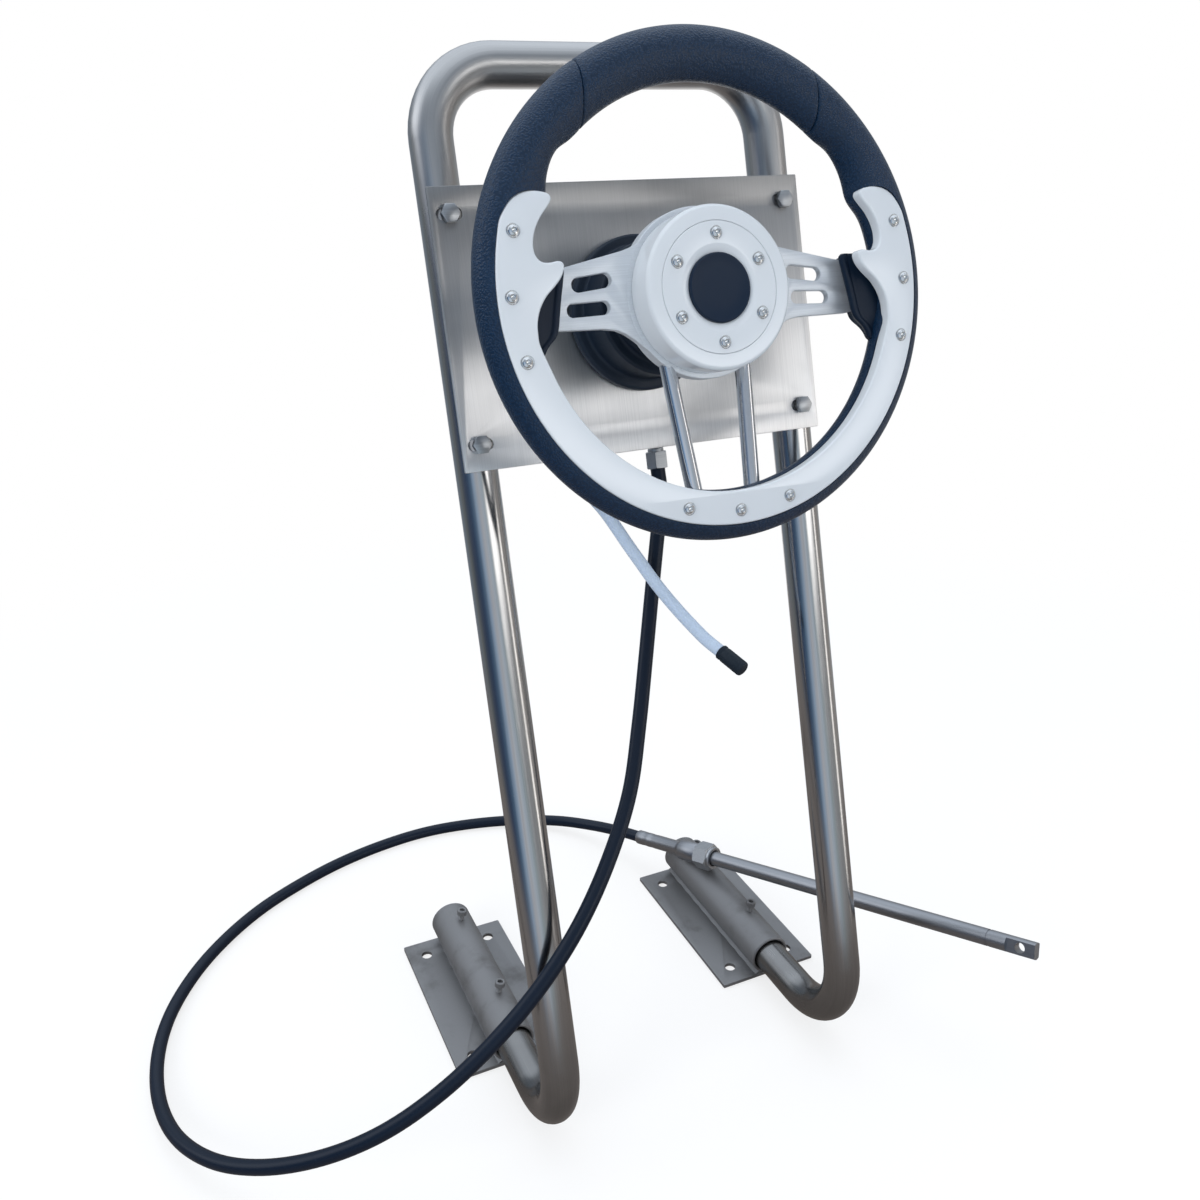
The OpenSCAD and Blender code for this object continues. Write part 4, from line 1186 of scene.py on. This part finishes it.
@dataclass
class Cords(Assembly):
    """The steering cable, the spent-travel tube, and what is on them.

    Attributes:
        ram: the ram's axes.
        cable_lead: straight run at both ends of the cable.
        spent_lead: straight run at the start of the tube.
        ferrule_start: where the jacket meets the ferrule, along the ram's axis.
        cap_turn: turn of the cap to the right of the front, in degrees.
        cap_dip: dip of the cap, in degrees.
    """

    ram: Axes
    cable_d: float = 13.0
    spent_d: float = 11.0
    cable_lead: float = 30.0
    spent_lead: float = 9.0
    ferrule_start: float = -106.0
    ferrule_end: float = -7.0
    cap_length: float = 26.0
    cap_turn: float = 20.0
    cap_dip: float = 19.0

    CABLE_POINTS = (
        (29, 20, 506), (12, -2, 454), (-6, -27, 406), (-27, -57, 361), (-51, -88, 317),
        (-83, -115, 277), (-120, -138, 240), (-160, -152, 204), (-204, -158, 168),
        (-250, -155, 131), (-297, -143, 97), (-344, -121, 69), (-389, -90, 47), (-426, -50, 30),
        (-452, 0, 18), (-463, 56, 11), (-460, 114, 8), (-444, 169, 7), (-415, 220, 7),
        (-378, 263, 7), (-333, 300, 7), (-282, 328, 7), (-229, 349, 7), (-172, 362, 7),
        (-115, 366, 7), (-58, 358, 7), (-4, 340, 8), (42, 309, 13), (74, 270, 21))
    SPENT_POINTS = (
        (-31, 30, 543), (-21.5, 23.5, 530), (-14.5, 15.5, 517), (-8, 6, 503.5), (-1.5, -4, 490.5),
        (5, -14.5, 477.5), (12.5, -24.5, 464.5), (20, -36, 452.5), (27, -48.5, 442),
        (33.5, -62.5, 433), (39.5, -78.5, 427))

    def build(self) -> None:
        start = self.ferrule_start
        tail = [self.ram.point(0, 0, along) for along in (start - self.cable_lead, start)]
        cable = self.route(1, self.cable_lead, self.CABLE_POINTS, tail)
        spent = self.route(-1, self.spent_lead, self.SPENT_POINTS, [])
        ferrule, nut, cap = self.ferrule(), self.coupling_nut(), self.spent_cap(spent[-1])
        self.declare("cable", cable, self.cable_d, "cable_jacket", "steering_cable", "stiff",
                     "loose", [ferrule, nut, frame["nodes"]["guide_tube"], frame["nodes"]["ram"]])
        self.declare("spent_hose", spent, self.spent_d, "spent_hose", "spent_tube", "stiff",
                     "hanging", [cap])

    def route(self, side: int, lead: float, points: Sequence[Sequence[float]],
              tail: Sequence[Vector]) -> list[Vector]:
        """Lays a smooth route from a port.

        Args:
            side: side of the port.
            lead: straight run below the port.
            points: where the route goes, in millimetres.
            tail: its last points, in metres.

        Returns:
            The route, in metres.
        """
        head = [self.helm.point(side * PORT_X, -PORT_END - drop, PORT_DEPTH) for drop in (0, lead)]
        return smooth([*head, *(Vector(p) * MM for p in points), *tail], 8)

    def declare(self, name: str, route: Sequence[Vector], width: float, slot: str, node: str,
                stiffness: str, lay: str, pieces: Sequence[Thing]) -> None:
        """Makes a cord along its route.

        Args:
            name: the piece's name.
            route: its centre line, in metres.
            width: its diameter.
            slot: its material slot.
            node: the CAD tube that it stands for.
            stiffness: how stiff it is; not used.
            lay: how it lies; not used.
            pieces: what is on it; not used.
        """
        made = self.shop.piece(name, sweep(route, width / 2 * MM, 24), slot, node)

    def ferrule(self) -> Thing:
        """Makes the crimped ferrule with its collar.

        Returns:
            The piece.
        """
        r, wide, neck, crimp = 8.2, 11.6, 10.3, 0.18
        start, end = self.ferrule_start, self.ferrule_end
        rings = [(0, start), (7.4, start), (7.9, start + 0.2), (r, start + 0.9)]
        for band in (start + 9, start + 21):
            rings += [(r, band), (r - crimp, band + 1.2), (r - crimp, band + 6), (r, band + 7.2)]
        rings += [(r, -43), (r + 0.4, -41.6), (wide - 0.7, -37.8), (wide, -36.2), (wide, -12.6),
                  (wide - 0.6, -11.7), (neck, -11.7), (neck, end), (0, end)]
        return self.shop.piece("ferrule", polar(rings, 64), "ram_steel", "cable_ferrule", self.ram)

    def coupling_nut(self) -> Thing:
        """Makes the hexagon coupling nut with a turned lip at its mouth.

        Returns:
            The piece.
        """
        flats, end, bore, mouth, lip_r = 27.0, 11.0, 10.45, 9.0, 12.6
        body = hex_prism(flats, -end, end - 3.2, bore, 0.97)
        lip = polar([(mouth, end - 4), (lip_r, end - 4), (lip_r, end - 0.6), (lip_r - 0.6, end),
                     (mouth + 0.4, end), (mouth, end - 0.4)], 72, True)
        return self.shop.piece("swivel_hex", joined(body, lip), "zinc", "coupling_nut", self.ram,
                               Body.NUT)

    def spent_cap(self, at: Vector) -> Thing:
        """Makes the rubber cap on the end of the spent-travel tube.

        Args:
            at: the tube's end, in metres.

        Returns:
            The piece.
        """
        r, end, groove = self.spent_d / 2 + 1.2, self.cap_length, 0.35
        turn, dip = math.radians(self.cap_turn), math.radians(self.cap_dip)
        level = math.cos(dip)
        ahead = Vector((math.sin(turn) * level, -math.cos(turn) * level, -math.sin(dip)))
        rings = [(0, -0.4), (r - 0.5, -0.4), (r, 0.2), (r, 2.2), (r - groove, 2.8),
                 (r - groove, 4.0), (r, 4.6), (r, end - 2.0), (r - 0.5, end - 0.8), (r - 1.8, end),
                 (0, end)]
        x = ahead.orthogonal().normalized()
        axes = Axes(at, x, ahead.cross(x), ahead)
        return self.shop.piece("hose_cap", polar(rings, 40), "rubber", "spent_tube_cap", axes)


@dataclass
class Console(Assembly):
    """The bent tube, its foot brackets, the helm plate and their fasteners.

    Attributes:
        half_pitch: half the distance between the uprights.
        hub_s: height of the wheel's axis along the uprights.
        top_s: height of the top bar along the uprights.
        foot_z: height of the feet's centre line.
        foot_run: length of the feet from the corner.
        base_front: distance of the base plates from the corner.
        base_size: width, length and thickness of a base plate.
        base_holes: spacing of the floor bolts across and along.
        screw_places: places of the clamp screws along a socket.
        screw_tilt: turn of the clamp screws about the socket, in degrees.
        plate_size: width, height and thickness of the helm plate.
        plate_mid: height of the plate's middle over the wheel's axis.
        bolt_pitch: distance between the plate's bolts along an upright.
        slot_half: half the distance between the centres of a slot's ends.
    """

    tube_r: float = 16.85
    bore_r: float = 14.85
    bore_depth: float = 60.0
    half_pitch: float = 145.0
    lean: float = 16.0
    hub_s: float = 696.0
    top_s: float = 890.0
    foot_bend_r: float = 66.0
    top_bend_r: float = 55.0
    foot_z: float = 24.4
    foot_run: float = 330.0
    base_front: float = 140.0
    base_size: Triple = (110.0, 200.0, 4.0)
    base_holes: Pair = (70.0, 156.0)
    hole_r: float = 5.5
    socket_r: float = 21.2
    socket_bore: float = 18.0
    screw_places: Pair = (50.0, 170.0)
    screw_tilt: float = 10.0
    plate_size: Triple = (320.0, 210.0, 3.0)
    plate_mid: float = -2.0
    bolt_pitch: float = 170.0
    slot_half: float = 5.5
    slot_r: float = 4.5
    opening_r: float = 30.0
    bolt_flats: float = 13.0

    def build(self) -> None:
        """Makes all pieces of the console."""
        self.tube()
        for name, side in HANDS:
            self.bracket(name, side)
        self.clamp_screws()
        self.plate()
        self.plate_bolts()

    def corner_y(self) -> float:
        """Returns where the feet's line meets the uprights' line, in millimetres along Y."""
        return self.helm.origin.y / MM - self.hub_s * math.sin(math.radians(self.lean))

    def upright(self, x: float, s: float) -> Vector:
        """Returns a point on the uprights' plane, in metres."""
        return self.helm.point(x, s - self.hub_s, 0)

    def tube(self) -> None:
        """Makes the console tube in one sweep from foot to foot."""
        bend_steps, straight_steps, top_steps, bar_steps = 18, 24, 14, 10
        corner, sweep_angle = self.corner_y(), math.pi / 2 + math.radians(self.lean)
        tangent = self.foot_bend_r * math.tan(sweep_angle / 2)
        centre = Vector((0, corner + tangent, self.foot_z + self.foot_bend_r))
        half: list[Vector] = [Vector((0, corner + self.foot_run, self.foot_z)) * MM]
        for i in range(bend_steps + 1):
            a = sweep_angle * i / bend_steps
            half.append((centre + Vector((0, -math.sin(a), -math.cos(a))) * self.foot_bend_r) * MM)
        rise = self.top_s - self.top_bend_r - tangent
        half += [self.upright(0, tangent + rise * i / straight_steps)
                 for i in range(1, straight_steps + 1)]
        right = [p + Vector((self.half_pitch * MM, 0, 0)) for p in half]
        reach = self.half_pitch - self.top_bend_r
        bend = arc((reach, self.top_s - self.top_bend_r), self.top_bend_r, 0, 90, top_steps)
        right += [self.upright(x, s) for x, s in bend[1:]]
        bar = [self.upright(reach * (1 - 2 * i / bar_steps), self.top_s)
               for i in range(1, bar_steps)]
        left = [Vector((-p.x, p.y, p.z)) for p in reversed(right)]
        mesh = sweep(right + bar + left, self.tube_r * MM, 56, self.bore_r * MM,
                     self.bore_depth * MM)
        self.shop.piece("console_tube", mesh, "tube", "frame_tube")

    def bracket(self, name: str, side: int) -> None:
        """Makes one foot bracket: base plate, socket tube and weld beads.

        Args:
            name: left or right.
            side: the sign of its place along X.
        """
        width, length, thick = self.base_size
        front = self.corner_y() + self.base_front
        outline = fillet(rectangle(-width / 2, front, width / 2, front + length), 1.5, True)
        across, along = (gap / 2 for gap in self.base_holes)
        holes = [circle((i * across, front + length / 2 + k * along), self.hole_r, 48)
                 for i in SIDES for k in SIDES]
        base = plate([outline, *holes], 0, thick, 0.4)
        ro, ri, soft = self.socket_r, self.socket_bore, 1.0
        socket = polar([(ri, soft), (ri + soft, 0), (ro - soft, 0), (ro, soft), (ro, length - soft),
                        (ro - soft, length), (ri + soft, length), (ri, length - soft)], 72, True)
        lying = Matrix.Rotation(-math.pi / 2, 4, "X")
        socket.transform(Matrix.Translation((0, front, self.foot_z)) @ lying)
        mesh = joined(base, socket, *(self.weld(front + 1, length - 2, k) for k in SIDES))
        mesh.transform(Matrix.Translation((side * self.half_pitch, 0, 0)))
        self.shop.piece(f"{name}_bracket", mesh, "bracket", f"{name}_foot_bracket", ROW)

    def weld(self, start: float, length: float, side: int) -> Mesh:
        """Makes a rippled weld bead along one side of a socket.

        Args:
            start: where the bead begins along Y.
            length: the bead's length.
            side: which side of the socket.

        Returns:
            The bead's mesh.
        """
        thick, steps, ripple = self.base_size[2], 200, 2.6
        touch = math.sqrt(self.socket_r ** 2 - (self.foot_z - thick - 2.5) ** 2)
        rows = []
        for i in range(steps + 1):
            y = start + length * i / steps
            swell = 0.35 * abs(math.sin(math.pi * (y - start) / ripple)) + 0.25 * math.sin(y * 0.31)
            shape = ((-3, -0.6), (5 + swell, -0.1), (3.6 + swell, 1.1), (1.6 + swell, 2.2),
                     (0.4, 3.6 + swell), (-3, 3.0))
            rows.append([(side * (touch + x), y, thick + z) for x, z in shape])
        return loft(rows)

    def clamp_screws(self) -> None:
        """Makes the socket-head clamp screws of both brackets."""
        seat, r, height, shank, root = self.socket_r + 6.0, 5.0, 6.0, 3.0, 2.6
        top, tip = seat + height, self.tube_r + 0.1
        wide = hexagon(5.0)
        knurl = lambda a: r + 0.12 * math.sin(a * 28)
        rings = [(0, top - 3.2), (1.6, top - 3.0), (wide, top - 2.8), (wide, top - 0.4),
                 (lambda a: wide(a) + 0.4, top), (r - 0.7, top), (knurl, top - 0.7),
                 (knurl, seat + 0.5), (r - 0.5, seat), (shank, seat), (2.85, seat - 0.5),
                 *thread(shank, root, seat - 0.8, -0.5, 18), (root, tip), (0, tip)]
        front = self.corner_y() + self.base_front
        tilt = Matrix.Rotation(math.radians(self.screw_tilt), 4, "Y")
        places = [Matrix.Translation((k * self.half_pitch, front + y, self.foot_z)) @ tilt
                  for k in SIDES for y in self.screw_places]
        self.shop.piece("clamp_screws", copies(polar(rings, 112), places), "bracket",
                        "foot_clamp_screws", ROW)

    def bolt_places(self) -> list[Pair]:
        """Returns the middles of the four bolt slots."""
        return [(i * self.half_pitch, self.plate_mid + k * self.bolt_pitch / 2)
                for i in SIDES for k in SIDES]

    def plate(self) -> None:
        """Makes the helm plate with its slots and its large opening."""
        width, height, thick = self.plate_size
        w, low, high = width / 2, self.plate_mid - height / 2, self.plate_mid + height / 2
        outline = fillet(rectangle(-w, low, w, high), 1.0, True)
        half = self.slot_half
        slots = [slot_outline((x - half, y), (x + half, y), self.slot_r, 12)
                 for x, y in self.bolt_places()]
        hole = circle((0, 0), self.opening_r, 120)
        mesh = plate([outline, *slots, hole], self.tube_r, self.tube_r + thick, 0.35)
        self.shop.piece("helm_sheet", mesh, "plate", "helm_plate", self.helm)

    def plate_bolts(self) -> None:
        """Makes the hexagon bolts, washers and nuts of the plate."""
        face, back = self.tube_r + self.plate_size[2], -self.tube_r
        under, end, tip = back - 1.6, back - 8.0, back - 12.4
        r, hole, washer_r = 4.0, 4.3, 8.0
        head = hex_prism(self.bolt_flats, face + 0.35, face + 5.3, 0)
        flange = polar([(0, face), (6.2, face), (6.2, face + 0.4), (0, face + 0.4)], 48)
        shank = polar([(0, face + 0.2), (r, face + 0.2), (r, end),
                       *thread(r, 3.6, back - 8.2, -0.4, 10), (3.2, tip), (0, tip)], 40)
        washer = polar([(hole, back), (washer_r, back), (washer_r, back - 1.4), (7.8, under),
                        (hole, under)], 48, True)
        nut = hex_prism(self.bolt_flats, end, under, 4.05)
        places = [Matrix.Translation((x, y, 0)) for x, y in self.bolt_places()]
        for name, mesh, slot in (("bolt", joined(head, flange, shank), "zinc"),
                                 ("washer", washer, "fastener"), ("nut", nut, "fastener")):
            self.shop.piece(f"plate_{name}_set", copies(mesh, places), slot, f"plate_{name}s",
                            self.helm)


@dataclass
class RotaryHelm(Assembly):
    """The bezel in front of the plate, and the ports that hang below the housing.

    Attributes:
        face: front of the helm plate.
        steps: radius and front of each step of the bezel.
        inside: radius of the bezel's hollow.
        mouth: radius of the bezel's hole for the shaft.
        wall: thickness of the bezel's front, and its rounding.
    """

    face: float = 19.85
    steps: tuple[Pair, ...] = ((60.5, 10.0), (51.5, 42.0), (42.0, 50.0), (34.0, 56.0))
    inside: float = 28.0
    mouth: float = 10.5
    wall: float = 3.0

    def build(self) -> None:
        """Makes the bezel and both ports."""
        self.bezel()
        for name, side, flats in (("cable_port", 1, 17.5), ("spent_port", -1, 15.0)):
            self.port(name, side, flats)

    def bezel(self) -> None:
        """Makes the stepped bezel with rounded steps."""
        height = self.face
        outline: list[Pair] = [(self.inside, height)]
        for radius, front in self.steps:
            outline += [(radius, height), (radius, self.face + front)]
            height = self.face + front
        outline += [(self.mouth, height), (self.mouth, height - self.wall),
                    (self.inside, height - self.wall)]
        mesh = polar(fillet(outline, self.wall, steps=6), 128, True)
        self.shop.piece("stepped_bezel", mesh, "bezel", "helm_bezel", self.helm)

    def port(self, name: str, side: int, flats: float) -> None:
        """Makes one port fitting: thread, tube and nut.

        Args:
            name: the port's CAD node.
            side: side of the port.
            flats: width of its nut across flats.
        """
        r, bore, body, collar, start, end = 7.0, 4.2, 7.9, 8.2, 56, 113
        axes = self.helm.downwards(self.helm.point(side * PORT_X, 0, PORT_DEPTH))
        stem = polar([(bore, start), (body, start), (body, 72), (collar, 72.4), (collar, 76),
                      (r, 76.6), (r, 83.5), *thread(r, 6.5, 84.0, 0.6, 44), (r, end),
                      (bore, end)], 64, True)
        nut = hex_prism(flats, end - 1, PORT_END, bore)
        self.shop.piece(f"{name}_fitting", joined(stem, nut), "zinc", name, axes)


@dataclass
class Wheel(Assembly):
    """The steering wheel with its hub.

    Attributes:
        mid_r: radius of the rim's middle line.
        half_w: half the rim's width.
        half_t: half the rim's depth.
        insert_low: back of the white insert.
        insert_high: front of the white insert.
        cap_face: front of the hub cap.
        seam: angle of the grip's seams from the middle of the right side, in degrees.
        seam_gap: half the gap at a seam, in degrees.
        rod_ends: x and y of a rod's upper and lower end.
        core: height of the rim's core.
        pad_top: front of the pads.
    """

    mid_r: float = 157.0
    half_w: float = 18.0
    half_t: float = 15.5
    insert_low: float = 145.0
    insert_high: float = 154.5
    insert_in: float = 140.0
    insert_out: float = 164.0
    insert_screw_r: float = 154.0
    hub_back: float = 115.85
    hub_face: float = 127.35
    hub_bore: float = 24.0
    cap_r: float = 56.5
    cap_face: float = 151.85
    cap_screw_r: float = 37.0
    seam: float = 55.0
    seam_gap: float = 0.05
    rod_r: float = 6.0
    rod_ends: tuple[Pair, Pair] = ((31, -47), (23, -151))
    core: float = 133.0
    pad_top: float = 140.5

    INSERT_EDGE = (
        (137.6, -32), (138.4, -24), (137.8, -16), (135, -8), (130, -0.5), (123.5, 5.5),
        (118.5, 11), (116, 16), (115.6, 19), (117, 21), (120, 21.6), (125, 20.8), (130, 21.2),
        (133.4, 23.6), (135.2, 28), (135.2, 34), (133.2, 41), (129, 48.5), (123.4, 55),
        (120.4, 59), (120, 61.6), (121.6, 63.6), (125, 64.8), (131, 65.6), (137, 65.4),
        (143, 63.6), (148.6, 60), (153, 54.6))
    SPOKE_EDGE = (
        (40, 41), (47, 36.5), (54, 33.2), (62, 30.8), (112, 20), (150, 14), (150, -14), (122, -20),
        (80, -20.6), (70, -22), (63, -25), (56, -30), (49, -36), (40, -43))
    SLOTS = (((75.5, 12), (95.5, 9.6), 5.0), ((78, -6.4), (101, -7.2), 4.7))
    PAD_INNER = (
        (115.3, 21.5), (113.1, 20.2), (112.5, 17.5), (114.4, 8.5), (117, -3), (119, -13),
        (120.5, -20), (123, -25.4), (129, -31.4), (132, -36), (133.6, -40.2), (136, -42.4))
    PAD_SECTION = (
        (0.0, -2.6), (0.25, -1.3), (0.8, -0.4), (1.6, 0.0), (4.0, 0.0), (4.7, -0.2), (5.2, -0.8),
        (5.9, -1.0), (6.5, -0.9), (9.0, -1.0), (14.0, 0.0), (22.0, 2.0))

    def build(self) -> None:
        """Makes all pieces of the wheel."""
        self.grips()
        self.insert()
        self.spider()
        self.rods()
        for name, side in HANDS:
            self.pad(name, side)
        self.hub()
        self.screws()

    def make(self, name: str, mesh: Mesh, slot: str, node: str, crease: float = 35.0) -> None:
        """Makes a piece that turns with the wheel."""
        self.shop.piece(name, mesh, slot, node, self.helm, Body.WHEEL, crease)

    def insert_outline(self, shrink: float = 0.0) -> list[Pair]:
        """Draws the whole outline of the white insert.

        Args:
            shrink: how far its arcs are drawn in.

        Returns:
            The outline.
        """
        tip = 17
        inner = arc((0, 0), self.insert_in + shrink, -90, -tip, 24)[:-1]
        outer = arc((0, 0), self.insert_out - shrink, tip, -90, 34)
        half = [*inner, *self.INSERT_EDGE, *outer]
        whole = half + mirrored(half[1:-1], -1)
        return [tuple(p) for p in smooth([Vector(p) for p in whole], 3, True)]

    def grip(self, start: float, end: float) -> Mesh:
        """Makes an arc of the rim, drawn in at its seams.

        Args:
            start: angle of the first end, in degrees.
            end: angle of the other end.

        Returns:
            The grip's mesh.
        """
        unit, soft, draw, fade, sides = 0.36, 1.8, 0.055, 14.0, 64
        steps = int((end - start) * 1.1)
        easing = [a * unit for a in (0.0, 0.25, 0.6, 1.1, soft)]
        stops = [start + a for a in easing]
        stops += [start + (end - start) * i / steps for i in range(2, steps - 1)]
        stops += [end - a for a in reversed(easing)]
        rows = []
        for angle in stops:
            near = min(angle - start, end - angle)
            pinch = 1 - draw * (1 - min(near / unit / soft, 1.0)) ** 2
            swell, hold = self.thumb_swell(angle), max(0.0, 1 - near / fade)
            row = []
            for t in (FULL_TURN * k / sides for k in range(sides)):
                r = self.mid_r + self.half_w * pinch * math.cos(t) + min(math.cos(t), 0.0) * swell
                a = math.radians(angle) + hold * self.seam_slant(angle, r)
                row.append((r * math.cos(a), r * math.sin(a),
                            RIM_PLANE + self.half_t * pinch * math.sin(t)))
            rows.append(row)
        return loft(rows)

    def seam_slant(self, angle: float, radius: float) -> float:
        """Finds the turn that makes a seam run upright instead of to the hub.

        Args:
            angle: where on the rim, in degrees.
            radius: distance from the wheel's axis.

        Returns:
            The turn, in radians.
        """
        seam = math.radians(self.seam)
        turn = math.acos(self.mid_r * math.cos(seam) / radius) - seam
        return turn if math.cos(math.radians(angle)) > 0 else -turn

    @staticmethod
    def thumb_swell(angle: float) -> float:
        """Tells how far the rim's inner edge stands in: a rest under the tip, then a waist.

        Args:
            angle: where on the rim, in degrees.

        Returns:
            The distance.
        """
        turn = angle % 360
        lean = turn if turn <= 90 else 180 - turn
        hump = lambda height, middle, width: height * math.exp(-((lean - middle) / width) ** 2)
        return hump(5.0, 26.0, 5.0) - hump(3.5, 40.0, 6.5)

    def grips(self) -> None:
        """Makes both grips, the lower one with the insert's seat cut out of it."""
        first, last, gap = self.seam, 180 - self.seam, self.seam_gap
        self.make("upper_grip", self.grip(first + gap, last - gap), "grip", "rim_grip_top")
        seat = plate([self.insert_outline(-0.25)], self.insert_low - 0.2, self.insert_high + 20,
                     0.05, 0)
        lower = carved(self.grip(last + gap, 360 + first - gap), seat)
        self.make("lower_grip", lower, "grip", "rim_grip_lower")

    def insert(self) -> None:
        """Makes the glossy white insert with rounded edges."""
        mesh = plate([self.insert_outline()], self.insert_low, self.insert_high, 1.5, 4)
        self.make("white_insert", mesh, "white_gloss", "rim_insert", 50.0)

    def spider(self) -> None:
        """Makes the hub disc and both slotted spokes."""
        back, face, bore, disc_r = self.hub_back, self.hub_face, self.hub_bore, 60.0
        outline = [(bore, back), (disc_r, back), (disc_r, face - 0.4), (self.cap_r, face),
                   (bore, face)]
        disc = polar(fillet(outline, 0.8), 128, True)
        edge, tongue = fillet(self.SPOKE_EDGE, 6.0, True, 5), rectangle(137, -12, 157, 12)
        slots = [slot_outline(a, b, r, 14) for a, b, r in self.SLOTS]
        spokes = [plate([mirrored(line, side) for line in (edge, *slots)], back + 5, back + 11,
                        0.7, 1) for side in SIDES]
        tongues = [plate([mirrored(tongue, side)], back + 8, self.core, 0.3, 1) for side in SIDES]
        self.make("spoked_hub", joined(disc, *spokes, *tongues), "spoke_metal", "wheel_spider",
                  30.0)

    def rods(self) -> None:
        """Makes the two polished rods between the hub and the rim."""
        meshes, r, soft = [], self.rod_r, 0.6
        (top_x, top_y), (foot_x, foot_y) = self.rod_ends
        for side in SIDES:
            top = Vector((side * top_x, top_y, self.hub_back + 5))
            way = Vector((side * foot_x, foot_y, self.core)) - top
            end = way.length
            rings = [(0, 0), (r - soft, 0), (r, soft), (r, end - soft), (r - soft, end), (0, end)]
            meshes.append(moved(polar(rings, 48), aimed(top, way)))
        self.make("rods", joined(*meshes), "rod_chrome", "spoke_rods")

    def pad(self, name: str, side: int) -> None:
        """Makes one black pad: a lip over the spoke, a ridge, a groove and a dished panel.

        Args:
            name: left or right.
            side: the sign of its place along x.
        """
        back, top, soft, outer, shift = self.hub_back + 2.5, self.pad_top, 1.8, 150, 2.7
        lip, undercut, lift = 4.6, 10.5, 17
        edge = smooth([Vector((x - shift, y, 0)) for x, y in self.PAD_INNER], 4)
        rows = []
        for x, y, _ in edge:
            gap = min(edge[0].y - y, y - edge[-1].y, soft) / soft
            sink = soft * (1 - math.sqrt(1 - (1 - gap) ** 2))
            under = min(1.0, max(0.0, (y + 41) / 19))
            foot = back + (1 - under) * lift
            narrow = min(1.0, (outer - 1 - x) / 22)
            ring = [(x + undercut * under, foot),
                    (x + (undercut - 0.3) * under, top - 13 * under - lip * (1 - under)),
                    (x + 0.9, top - lip),
                    *((x + u * narrow, top + h - sink) for u, h in self.PAD_SECTION),
                    (outer, top - sink), (outer, foot)]
            rows.append([(side * u, y, h) for u, h in ring])
        self.make(f"{name}_pad", loft(rows), "pad", f"{name}_spoke_pad", 50.0)

    def hub(self) -> None:
        """Makes the white cap, its ring plate and the black centre cap."""
        base, face, outer, bore = self.hub_face, self.cap_face, self.cap_r, self.hub_bore
        well, seat, soft = 45.2, face - 3.5, 3
        inner = outer - soft
        shell = [(inner, base), (outer - 0.6, base), (outer, base + 0.6),
                 *arc((inner, face - soft), soft, 0, 90, 8), (45.6, face), (well, face - 0.4),
                 (well, seat), (bore + 0.2, seat), (bore + 0.2, face - 6), (inner, face - 6)]
        self.make("white_cap", polar(shell, 128, True), "white_gloss", "hub_cap")
        ring = [(24.1, face - 3.4), (45.0, face - 3.4), (45.0, face - 0.4), (44.6, face),
                (30.6, face), (29.6, face - 0.15), (25.0, face - 1.6), (24.1, face - 2.0)]
        self.make("ring_plate", polar(ring, 128, True), "white_gloss", "hub_ring")
        dish = [(0, face - 7), (bore, face - 7), (bore, face - 1), (23.8, face),
                (23.0, face + 0.55), (22.2, face + 0.5), (20.6, face - 0.1), (12, face - 0.45),
                (0, face - 0.6)]
        self.make("dished_cap", polar(dish, 96), "black_gloss", "centre_cap")

    def screws(self) -> None:
        """Makes the button-head screws of the insert and of the hub."""
        rim = [turned(middle + k * 15.5, self.insert_screw_r) for middle in (0, 180, 270)
               for k in (-1, 0, 1)]
        cap = [turned(angle, self.cap_screw_r) for angle in range(30, 390, 60)]
        for name, seat, depth, places in (("insert", self.insert_high, 8.0, rim),
                                          ("hub", self.cap_face, 20.0, cap)):
            self.make(f"{name}_screw_set", copies(button_head(seat, depth), places), "fastener",
                      f"{name}_screws")


def main() -> None:
    """Builds the studio and every sub-assembly in order."""
    logging.basicConfig(level=logging.INFO, format="%(name)s: %(message)s")
    bpy.context.scene.view_settings.view_transform = "Standard"
    helm, ram = helm_axes(), ram_axes()
    Studio().build()
    paint = Paintshop(helm, ram)
    paint.dress_frame()
    shop = Workshop(paint)
    for assembly in (Cords(shop, helm, ram), Console(shop, helm), RotaryHelm(shop, helm),
                     Wheel(shop, helm.turned(WHEEL_REST))):
        assembly.build()
    LOG.info("%d pieces", len(shop.made))


if __name__ == "__main__":
    main()
